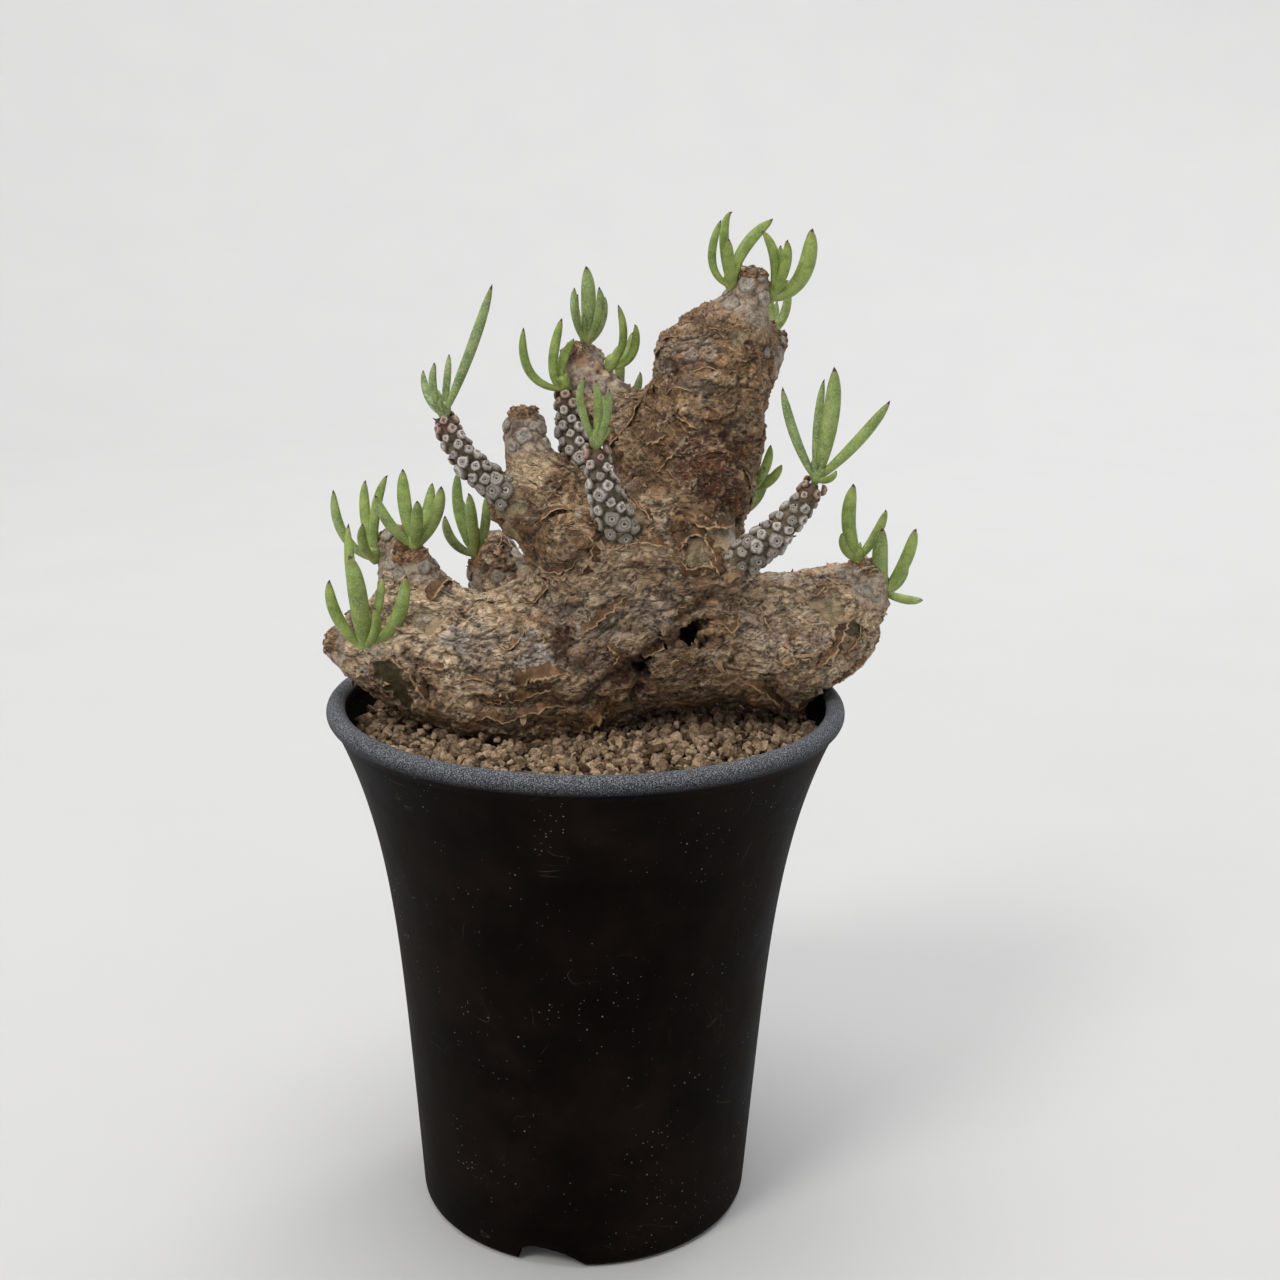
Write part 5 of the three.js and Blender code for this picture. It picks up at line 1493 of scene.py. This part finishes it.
# Edges behind, where the photograph does not show the plant: width, and points near the bark in
# the plant's frame
EDGES_BEHIND = (
    (1.6, ((20, 25, 84), (28, 26, 80), (36, 24, 82))),
    (1.5, ((14, 25, 70), (24, 28, 66), (34, 26, 69))),
    (1.7, ((8, 28, 54), (18, 32, 50), (30, 30, 53))),
    (1.6, ((-8, 30, 42), (2, 34, 38), (14, 35, 41))),
    (1.6, ((34, 34, 30), (44, 32, 25), (55, 28, 28))),
    (1.7, ((-20, 33, 24), (-30, 32, 19), (-42, 26, 22))),
    (1.5, ((-2, 36, 26), (8, 38, 21), (20, 38, 24))),
    (1.6, ((20, 36, 12), (32, 36, 9), (46, 30, 12))),
    (1.6, ((-14, 34, 10), (-26, 32, 7), (-38, 27, 10))),
)
# How far apart two stations of an edge may lie on the bark, in front and behind
SEEN_GAP = 2.6 * MM
GAP_BEHIND = 3 * MM
LIP_SECTION = (
    (-0.5, -1.25), (0.1, -0.95), (0.24, -0.35), (0.48, 0.08), (0.72, 0.3), (0.78, 0.55),
    (0.68, 0.52), (0.58, 0.33), (0.36, 0.14), (0.1, -0.2), (-0.4, -0.55), (-0.8, -1.1),
)


def lip_section():
    """The closed section of a torn lip: it stands out of the bark and curls over."""
    points = [(out * MM, along * MM, 0) for out, along in LIP_SECTION]
    mesh = bpy.data.meshes.new("lip_section")
    mesh.from_pydata(points, [(k, (k + 1) % len(points)) for k in range(len(points))], [])
    keep(mesh, "edge", [float(k in (4, 5, 6)) for k in range(len(points))])
    # The inner side of the curl, which the finish darkens as painted shade
    keep(mesh, "under", [float(k > 6) for k in range(len(points))])
    return bpy.data.objects.new("lip_section", mesh)


def longest_run(spots, reach):
    """The longest stretch of spots in which each lies within reach of the one before."""
    runs = [[spots[0]]]
    for before, spot in zip(spots, spots[1:]):
        if (spot[0] - before[0]).length > reach:
            runs.append([])
        runs[-1].append(spot)
    return max(runs, key=len)


def torn_edge_lines(surface):
    """Lines on the bark along the torn edges, with the way out of the bark at each point."""
    lines, ways, widths = [], [], []
    for width, pixels in TORN_EDGES:
        spots = [seen_on(surface, column, row) for column, row, _ in seen_line(pixels)]
        spots = longest_run(spots, SEEN_GAP)
        lines.append([place for place, _ in spots])
        ways += [normal for _, normal in spots]
        widths.append(width)
    for width, points in EDGES_BEHIND:
        line = smooth_line(points, EDGE_STATIONS)
        spots = [surface.find_nearest(plant(point))[:2] for point in line]
        spots = longest_run(spots, GAP_BEHIND)
        lines.append([place for place, _ in spots])
        ways += [normal for _, normal in spots]
        widths.append(width)
    return line_object("torn_edge_lines", lines, width=widths, face=ways)


def make_torn_edges(surface, finish):
    """Sweeps the lip's section along every torn edge, ragged and thinner towards its ends."""
    section = lip_section()
    values = {"Section": section, "Step": 0.45 * MM, "Stray": 0.5 * MM, "Finish": finish}
    tree = Tree("torn_edges", values)
    inputs = tree.inputs
    line = tree.add("GeometryNodeMeshToCurve", {0: inputs["Geometry"]})
    steps = {"Curve": line, "Length": inputs["Step"]}
    line = tree.add("GeometryNodeResampleCurve", steps, mode="LENGTH")
    place = tree.add("GeometryNodeInputPosition")
    drift = tree.drift(place, 2.2 * MM, 3.0, 0.65)
    line = tree.moved(line, tree.scaled(drift, tree.times(inputs["Stray"], 3.0)))
    share = tree.add("GeometryNodeSplineParameter")
    line = tree.store(line, "tone", tree.ramp(tree.noise(place, 4 * MM, 2.0), 0.3, 0.7, 0.15, 0.95))
    face = tree.stored("face", "FLOAT_VECTOR")
    line = tree.add("GeometryNodeSetCurveNormal", {"Curve": line, "Normal": face}, mode="FREE")
    start, stop = tree.ramp(share, 0.0, 0.2, 0.12, 1.0), tree.ramp(share, 0.75, 1.0, 1.0, 0.1)
    wander = tree.ramp(tree.noise(place, 1.3 * MM, 4.0, 0.7), 0.3, 0.7, 0.15, 1.25)
    size = tree.times(tree.times(tree.times(start, stop), wander), tree.stored("width"))
    shape = tree.add("GeometryNodeObjectInfo", {"Object": inputs["Section"]}).node
    shape = tree.add("GeometryNodeMeshToCurve", {0: shape.outputs["Geometry"]})
    tree.end(tree.sweep(line, shape, size))
    lines = torn_edge_lines(surface)
    edges = tree.grow_on(lines, "torn_edges")
    discard(lines, section)
    return edges


# Scars of old leaves on the stubs: the photograph's pixels, and the size against a leaf cup's
# Where scars stand on each stub, behind and at its sides: the share of its length, and the way
# round in degrees
SCARS_ROUND_STUBS = ((0.35, 55), (0.6, 120), (0.8, 20), (0.5, 160), (0.9, 85), (0.75, 200))
SCAR_DEPTH = 0.25 * MM
SCAR_FLATNESS = 0.55
SCARS = (
    (747, 284, 1.2), (731, 303, 1.15), (765, 299, 1.05), (751, 317, 0.9), (738, 269, 0.75),
    (762, 277, 0.75), (524, 436, 1.2), (512, 447, 0.8), (534, 426, 0.7), (594, 366, 0.7),
    (600, 387, 1.1), (580, 385, 0.7), (571, 420, 1.1), (566, 436, 1.0), (387, 534, 1.2),
    (395, 552, 0.85), (425, 567, 1.0), (398, 573, 1.0), (374, 650, 0.9), (362, 672, 0.95),
    (369, 667, 0.7), (859, 571, 1.0), (866, 590, 1.1), (856, 590, 0.8), (877, 598, 0.8),
    (773, 344, 0.9), (780, 353, 1.0), (768, 353, 0.85), (784, 341, 0.8), (776, 362, 0.85),
    (580, 510, 0.8), (576, 516, 0.7), (427, 619, 0.6), (497, 577, 1.1), (481, 591, 1.0),
    (345, 655, 0.8),
)


def make_scars(surface):
    """Low grey rings round the stubs, where the photograph shows them and also behind."""
    random = np.random.default_rng(31)
    spots = [(*seen_on(surface, column, row), size) for column, row, size in SCARS]
    for path, foot, _ in STUBS:
        for share, turn in SCARS_ROUND_STUBS:
            near = np.array(path[0]) + share * (np.array(path[-1]) - np.array(path[0]))
            way = np.array([math.cos(math.radians(turn)), math.sin(math.radians(turn)), 0])
            place, normal, _, _ = surface.find_nearest(plant(near + way * foot))
            spots.append((place, normal, random.uniform(0.6, 1.1)))
    count = len(spots)
    points = [place - normal * SCAR_DEPTH for place, normal, _ in spots]
    facing = [normal for _, normal, _ in spots]
    size = np.array([(size, size, SCAR_FLATNESS * size) for _, _, size in spots])
    spin = random.uniform(0, 6.28, count)
    seated = seats("scar_seats", points, facing, size, spin, random.random(count))
    keep(seated.data, "along", np.full(count, 0.32))
    keep(seated.data, "faint", np.ones(count))
    cups = [leaf_cup(seed) for seed in range(40, 45)]
    return set_on_seats("leaf_scars", seated, cups, bpy.data.materials["shoot_skin"], 4)


# Leaf tufts: the seat and the tone (0 fresh green, 1 bluish green) of each, and its leaves. Each
# leaf is where its tip is from the seat, how far its middle bows aside, and its width
TUFTS = {
    "leaves_shoot_left": ((-31.3, -8, 73), 1.0, (
        ((11, -3, 28), (0.6, 0, 0), 2.4), ((-1.6, -2, 11), (-1.2, 0, 0), 1.8),
        ((1, 3, 12.5), (0, 0, 0), 1.7), ((-5, 5, 8.5), (-1, 0.5, -1), 1.8),
    )),
    "leaves_shoot_middle": ((-5.8, 8, 77.2), 0.15, (
        ((-9, -3, 13.5), (-3, 0, -3), 2.1), ((-0.7, -1, 15.5), (-2.2, 0, -3), 2.3),
        ((2, 2, 11), (-1.6, 0, 0), 2.1),
    )),
    "leaves_branch_top": ((-1.1, 15, 87), 0.55, (
        ((0, -1, 17), (0.5, 0, 0), 3.5), ((-2, -5, 11), (-1.2, 0, 0), 1.8),
        ((3, -4, 12.5), (1.4, 0, 0), 2.3), ((-3, 5, 12), (-1, 1, 0), 2.2),
        ((4, 5, 10), (1, 1, -1), 2.2),
    )),
    "leaves_branch_side": ((4.2, 13, 81.8), 0.2, (
        ((2.2, -3, 13.8), (2, 0, -1), 1.9), ((6, 1, 9.5), (2, 0, -2), 2.1),
        ((5, 6, 7), (1, 0, -1.5), 2),
    )),
    "leaves_shoot_front": ((2.2, -15, 67.8), 0.4, (
        ((-2.5, -4, 14.6), (-2, 0, 1.6), 1.8), ((0, 0, 13.4), (0.4, 0, 0), 2.1),
        ((1.2, 5, 9.8), (0.3, 0.4, 0), 1.6), ((2.8, -6, 12.4), (0.8, 0, 0), 1.8),
    )),
    "leaves_crown_left": ((31, 4.5, 100.8), 0.3, (
        ((-2.6, -3, 14), (-2.8, 0, -1.8), 1.9), ((-0.4, 0, 15.8), (-1.4, 0, 2.6), 2.2),
        ((-0.9, -7, 10), (0, -0.5, -0.5), 2.3), ((9, 5, 14.2), (-1.6, 0.4, 0.8), 2.8),
    )),
    "leaves_crown_right": ((40.5, 8, 98.2), 0.2, (
        ((-2.3, -3, 14.2), (1.6, -0.4, 0.8), 2.4), ((2.6, -5, 12.6), (1.2, -0.5, 0.6), 2.5),
        ((8.4, 0, 14.6), (2.2, 0, -2.8), 3.8), ((2, 5, 11), (0.8, 1, -0.6), 2.2),
    )),
    "leaves_crown_back": ((42, 16, 90.5), 0.3, (
        ((-1.6, 5, 11), (0, 1.4, -1), 2.2), ((3.5, 6, 9), (0.8, 1.2, -1), 2.2),
        ((1, 9, 5.5), (0, 0.6, -1.6), 2),
    )),
    "leaves_trunk_side": ((37.2, 12, 54.5), 0.35, (
        ((2.2, 0.5, 16.2), (0.4, 0, 2), 3.3), ((3, -4, 5.4), (0, -0.4, -0.6), 2.6),
        ((7, -2, 5.6), (0.4, 0, -1.3), 2.3), ((5, 6, 9), (1, 1, -1), 2.4),
    )),
    "leaves_shoot_right": ((50, -12, 60.6), 0.6, (
        ((-8.2, -3, 19.8), (-0.8, 0, -0.6), 2.2), ((1.2, 4, 21), (-0.5, 0.4, 0), 2),
        ((2.8, -2, 24.2), (1, 0, 0.6), 3.7), ((14.4, -4, 17.4), (0.6, 0, -0.6), 2.6),
        ((3.6, -5, 2.4), (0.4, -0.6, -0.6), 1.7),
    )),
    "leaves_lobe_top": ((62.4, 7.5, 38.8), 0.4, (
        ((-1.6, 0, 17.2), (-1.5, 0, -0.2), 3.4), ((-4.4, -5, 7), (-1, -0.4, -0.5), 1.9),
        ((6.6, 3, 11), (0.8, 0.4, -0.4), 2.4), ((-1, 8, 9), (0, 1.2, -0.6), 2.4),
    )),
    "leaves_lobe_end": ((69.2, 8, 31), 0.35, (
        ((-1.6, -3, 15.2), (-0.8, -0.4, 0), 3.7), ((6.4, 0, 14.8), (1, 0, -0.6), 3.1),
        ((8, -5, -0.4), (0.4, -0.6, -0.6), 2.3), ((6, 6, 5), (0.8, 1, -1), 2.2),
    )),
    "leaves_left_end": ((-50, -9.5, 20.2), 0.35, (
        ((-7, -2, 16), (-2, 0, -0.5), 2.8), ((-4, 7, 27), (-0.8, -0.4, 1.4), 2.5),
        ((-2, -3, 22), (0.4, -0.6, 1.4), 4.3), ((4.2, 2, 16), (1, -0.6, 1), 2.1),
        ((3.6, -6, 11), (1.5, -0.6, 0), 2.3), ((9.8, 0, 17), (2.2, -0.8, -2.4), 3.2),
    )),
    "leaves_left_branch": ((-49.6, 6, 37.5), 0.35, (
        ((-9, 0, 15.8), (-2.4, 0, -2.2), 2.4), ((-2.6, 5, 17.5), (-1, 0.4, 0.6), 2.6),
        ((-1.6, -6, 9), (-1, -0.4, -0.6), 2.4), ((3, 1, 19.4), (-1.2, 0, 1), 2.4),
    )),
    "leaves_left_middle": ((-40.1, 4, 41), 0.4, (
        ((-8, -3, 12.4), (-1.2, -0.4, -0.4), 2.6), ((-2.6, 3, 17.4), (-0.8, 0, 0.6), 3.2),
        ((1.8, -6, 11.6), (0.3, -0.6, 0.2), 2.9), ((6.8, -3, 14.2), (1.3, 0, -0.4), 3.2),
        ((3.4, 7, 13.2), (0.6, 0.8, 0), 2.7),
    )),
    "leaves_stem_behind": ((-27.6, 21, 35.8), 0.6, (
        ((-7, -3, 9.4), (-1.6, 0, -1.4), 2.4), ((-4.4, 2, 19.4), (-1.6, 0, -0.6), 2.8),
        ((-1, -4, 15.4), (0, -0.6, 0), 2.8), ((2.6, -1, 14.4), (0.9, 0, -0.4), 2.4),
        ((-4, 7, 12), (-0.6, 1, -0.6), 2.5),
    )),
    "leaves_shoot_back": ((5.4, 28.7, 68.8), 0.5, (
        ((-4, 5, 13), (-1.2, 0.8, 0), 2.2), ((1, 2, 16), (0.4, 0, 0), 2.6),
        ((6, 5, 10), (1.2, 0.6, -1), 2.2), ((1, 9, 9), (0, 1.2, -1), 2.2),
    )),
    "leaves_lobe_behind": ((34.8, 34.2, 43.8), 0.4, (
        ((-4, -2, 14), (-1.2, 0, 0), 2.6), ((2, 3, 17), (0.6, 0.4, 0), 3),
        ((8, 3, 10), (1.4, 0.4, -1.4), 2.6), ((0, 8, 10), (0, 1.4, -1), 2.4),
        ((5, -4, 8), (0.8, -0.6, -0.8), 2.2),
    )),
}
# Half-widths along a leaf, as a share of its greatest
LEAF_OUTLINE = (
    (0, 0.36), (0.06, 0.46), (0.2, 0.74), (0.4, 0.94), (0.6, 1.0), (0.78, 0.88), (0.9, 0.6),
    (0.955, 0.36), (0.975, 0.16), (0.99, 0.09), (1, 0.03),
)
LEAF_THICKNESS = 0.8
LEAF_HOLLOW = 0.2
LEAF_STATIONS = 15
# In millimetres: how deep a leaf's foot is set, and the length of its hooked point
FOOT_DEPTH = 0.9
HOOK_LENGTH = 0.5
# In millimetres: reach, stray and width of the young leaves in a tuft, and its bud
YOUNG_LEAVES = 3
YOUNG_REACH, YOUNG_STRAY, YOUNG_WIDTH = 4.2, 1.1, 1.3
BUD_REACH, BUD_WIDTH = 3.2, 3.3


def leaf_skin():
    """Smooth green skin under a pale bloom, yellower at the foot, with a dark dry point."""
    finish = Finish("leaf_skin")
    place, along, tone = finish.place, finish.stored("along"), finish.stored("tone")
    cloud = finish.noise(place, 3.4 * MM, 4.0, 0.6)
    speck = finish.noise(place, 0.42 * MM, 3.0, 0.7)
    green = finish.blend(tone, (0.15, 0.22, 0.022), (0.125, 0.185, 0.055))
    light = finish.blend(tone, (0.32, 0.40, 0.075), (0.28, 0.35, 0.13))
    colour = finish.blend(finish.ramp(cloud, 0.3, 0.7), green, light)
    bloom = finish.times(finish.ramp(speck, 0.46, 0.68), finish.ramp(tone, 0.0, 1.0, 0.36, 0.7))
    colour = finish.blend(bloom, colour, (0.49, 0.545, 0.36))
    foot = finish.ramp(along, 0.0, 0.26, 0.7, 0.0)
    colour = finish.blend(foot, colour, (0.36, 0.40, 0.12))
    blush = finish.ramp(along, 0.86, 0.96, 0.0, 0.5)
    colour = finish.blend(blush, colour, (0.20, 0.16, 0.06))
    spots = finish.noise(place, 0.8 * MM, 2.0, 0.6)
    colour = finish.blend(finish.ramp(spots, 0.7, 0.78, 0.0, 0.7), colour, (0.07, 0.05, 0.02))
    colour = finish.blend(finish.ramp(along, 0.955, 0.975), colour, (0.045, 0.014, 0.012))
    bumps = finish.bump(finish.noise(place, 1.4 * MM, 3.0), 0.16 * MM, strength=0.5)
    grain = finish.bump(speck, 0.04 * MM, bumps, 0.5)
    finish.dress(Base_Color=colour, Roughness=0.46, Specular_IOR_Level=0.42, Normal=grain)
    finish.dress(Subsurface_Weight=0.12, Subsurface_Scale=1.2 * MM)
    return finish.dress(Subsurface_Radius=(0.5, 1.0, 0.2))


def leaf_tree():
    """Sweeps each leaf's grooved section along its line, thin at its foot and pointed."""
    values = {"Sides": 14, "Stations": 26, "Thickness": LEAF_THICKNESS, "Hollow": LEAF_HOLLOW}
    tree = Tree("leaf_blades", {**values, "Finish": leaf_skin()})
    inputs = tree.inputs
    line = tree.add("GeometryNodeMeshToCurve", {0: inputs["Geometry"]})
    line = tree.add("GeometryNodeResampleCurve", {"Curve": line, "Count": inputs["Stations"]})
    share = tree.add("GeometryNodeSplineParameter")
    line = tree.store(line, "along", share)
    face = tree.stored("face", "FLOAT_VECTOR")
    line = tree.add("GeometryNodeSetCurveNormal", {"Curve": line, "Normal": face}, mode="FREE")
    outline = tree.add("ShaderNodeFloatCurve", {"Value": share})
    knots = outline.node.mapping.curves[0].points
    knots[0].location, knots[1].location = LEAF_OUTLINE[0], LEAF_OUTLINE[-1]
    for place, value in LEAF_OUTLINE[1:-1]:
        knots.new(place, value)
    outline.node.mapping.update()
    circle = {"Resolution": inputs["Sides"], "Radius": 1.0}
    ring = tree.add("GeometryNodeCurvePrimitiveCircle", circle)
    spot = tree.add("ShaderNodeSeparateXYZ", {0: tree.add("GeometryNodeInputPosition")}).node
    across, depth = spot.outputs["Y"], spot.outputs["X"]
    dip = tree.times(tree.minus(1.0, tree.times(across, across)), inputs["Hollow"])
    dip = tree.times(dip, tree.math("GREATER_THAN", depth, 0.0))
    depth = tree.minus(tree.times(depth, inputs["Thickness"]), dip)
    section = tree.add("ShaderNodeCombineXYZ", {"X": depth, "Y": across})
    ring = tree.add("GeometryNodeSetPosition", {"Geometry": ring, "Position": section})
    half = tree.times(tree.stored("width"), 0.5)
    tree.end(tree.sweep(line, ring, tree.times(outline, half)))
    return tree


def leaf_line(seat, tip, bow, random):
    """The leaf's middle line: an even bow, with a short hooked point at its end."""
    seat, tip, bow = np.array(seat, float), np.array(tip, float), np.array(bow, float)
    rise, ahead = tip / 2 + 2 * bow, tip / 2 - 2 * bow
    line = [seat - FOOT_DEPTH * rise / np.linalg.norm(rise)]
    for t in np.linspace(0, 1, LEAF_STATIONS):
        line.append(seat + 2 * t * (1 - t) * rise + t * t * tip)
    hook = HOOK_LENGTH * (ahead / np.linalg.norm(ahead))
    line.append(line[-1] + hook + random.uniform(-0.3, 0.3, 3))
    return [plant(point) for point in line]


def make_leaves():
    """Every tuft: its own leaves, young ones round their middle, and a bud."""
    tree = leaf_tree()
    random = np.random.default_rng(8)
    for name, (seat, tone, leaves) in TUFTS.items():
        ahead = np.mean([np.array(tip) / np.linalg.norm(tip) for tip, _, _ in leaves], axis=0)
        every = list(leaves)
        for _ in range(YOUNG_LEAVES):
            tip = ahead * YOUNG_REACH + random.normal(size=3) * YOUNG_STRAY
            every.append((tip, (0, 0, 0), YOUNG_WIDTH))
        every.append((ahead * BUD_REACH, (0, 0, 0), BUD_WIDTH))
        lines = [leaf_line(seat, tip, bow, random) for tip, bow, _ in every]
        faces = [(0, -1, 0.2) if tip[1] > 0 else (0, 1, 0.2) for tip, _, _ in every]
        tones = np.clip([tone + random.uniform(-0.25, 0.25) for _ in every], 0, 1)
        widths = [wide * MM for _, _, wide in every]
        start = line_object(name + "_lines", lines, width=widths, tone=tones, face=faces)
        tuft = tree.grow_on(start, "blades_" + name)
        discard(start)
        ride(tuft, "leaf", name)


# The camera, the floor and the light
def set_camera():
    camera = in_scene("camera", bpy.data.cameras.new("camera"))
    camera.data.lens, camera.data.sensor_width = CAMERA_LENS, CAMERA_SENSOR
    camera.data.clip_start = 10 * MM
    forward = Vector((0, math.cos(CAMERA_PITCH), -math.sin(CAMERA_PITCH)))
    level = Vector((1, 0, 0))
    up = level.cross(forward)
    right = math.cos(CAMERA_ROLL) * level - math.sin(CAMERA_ROLL) * up
    top = math.sin(CAMERA_ROLL) * level + math.cos(CAMERA_ROLL) * up
    turn = Matrix((right, top, -forward)).transposed().to_4x4()
    camera.matrix_world = Matrix.Translation(CAMERA_PLACE) @ turn
    bpy.context.scene.camera = camera


def view_ray(column, row):
    """The direction from the camera through a pixel of the 1280 by 1280 photograph."""
    turn = bpy.context.scene.camera.matrix_world.to_3x3()
    reach = CAMERA_LENS / CAMERA_SENSOR * PHOTO_SIDE
    middle = PHOTO_SIDE / 2
    return (turn @ Vector((column - middle, middle - row, -reach))).normalized()


def plain_floor():
    """A pale matt floor whose far edge sweeps up all round into a backdrop."""
    flat, bend, top, thick = 1.3, 1.0, 1.9, 0.02
    outline = [(flat * step / 6, 0) for step in range(7)]
    for step in range(1, 13):
        turn = math.pi / 2 * step / 12
        outline.append((flat + bend * math.sin(turn), bend * (1 - math.cos(turn))))
    outline.append((flat + bend, top))
    under = [(radius + thick, height - thick) for radius, height in reversed(outline[1:])]
    floor = turned_surface("studio_floor", outline + under + [(0, -thick)], 96, Vector())
    finish = Finish("pale_floor")
    mottle = finish.noise(finish.place, 0.09, 3.0)
    colour = finish.blend(mottle, (0.565, 0.564, 0.566), (0.595, 0.592, 0.592))
    floor.data.materials.append(finish.dress(Base_Color=colour, Roughness=0.9))


def soft_light(name, place, aim, side, power, colour):
    light = in_scene(name, bpy.data.lights.new(name, "AREA"))
    light.data.shape, light.data.size = "DISK", side
    light.data.energy, light.data.color = power, colour
    light.location = place
    light.rotation_euler = (Vector(aim) - Vector(place)).to_track_quat("-Z", "Y").to_euler()


def set_light():
    aim = (0, 0, 0.15)
    soft_light("overhead_light", (-0.1, 0.1, 2.9), (0, 0.2, 0), 2.4, 44, (1.0, 0.99, 0.97))
    soft_light("key_light", (-1.1, -1.3, 1.9), aim, 0.7, 22, (1.0, 0.985, 0.96))
    soft_light("back_light", (1.0, 1.3, 1.4), aim, 0.8, 7, (1.0, 1.0, 1.0))
    soft_light("backdrop_light", (0, 1.2, 2.2), (0, 3.2, 0.9), 1.2, 12, (1.0, 1.0, 1.0))
    world = bpy.context.scene.world or bpy.data.worlds.new("studio")
    bpy.context.scene.world = world
    world.use_nodes = True
    sky = world.node_tree.nodes["Background"]
    sky.inputs["Color"].default_value = (0.96, 0.975, 1.0, 1.0)
    sky.inputs["Strength"].default_value = 0.48
    bpy.context.scene.view_settings.view_transform = "Standard"


# Putting it together
def ride(piece, slot, *nodes):
    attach(piece, "root")
    if nodes:
        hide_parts(*nodes)


set_camera()
plain_floor()
set_light()

ride(make_pot(), "pot_plastic", "pot")

form = caudex_form()
sink_creases(form, surface_of(form))
form_surface = surface_of(form)
mark_patches(form, form_surface)
caudex = peel_bark(form)
bark_surface = surface_of(caudex)
discard(form)
small_flakes, curled_flakes = make_flakes(caudex)
ride(caudex, "bark", "caudex")
ride(small_flakes, "bark", "caudex")
ride(curled_flakes, "bark", "caudex")
granules, bed = make_soil(bark_surface)
ride(granules, "soil_grit", "soil")
ride(bed, "soil_grit", "soil")
ride(make_torn_edges(form_surface, bpy.data.materials["loose_bark"]), "bark", "caudex")
make_shoots()
ride(make_scars(form_surface), "shoot_bark", "caudex")
make_leaves()
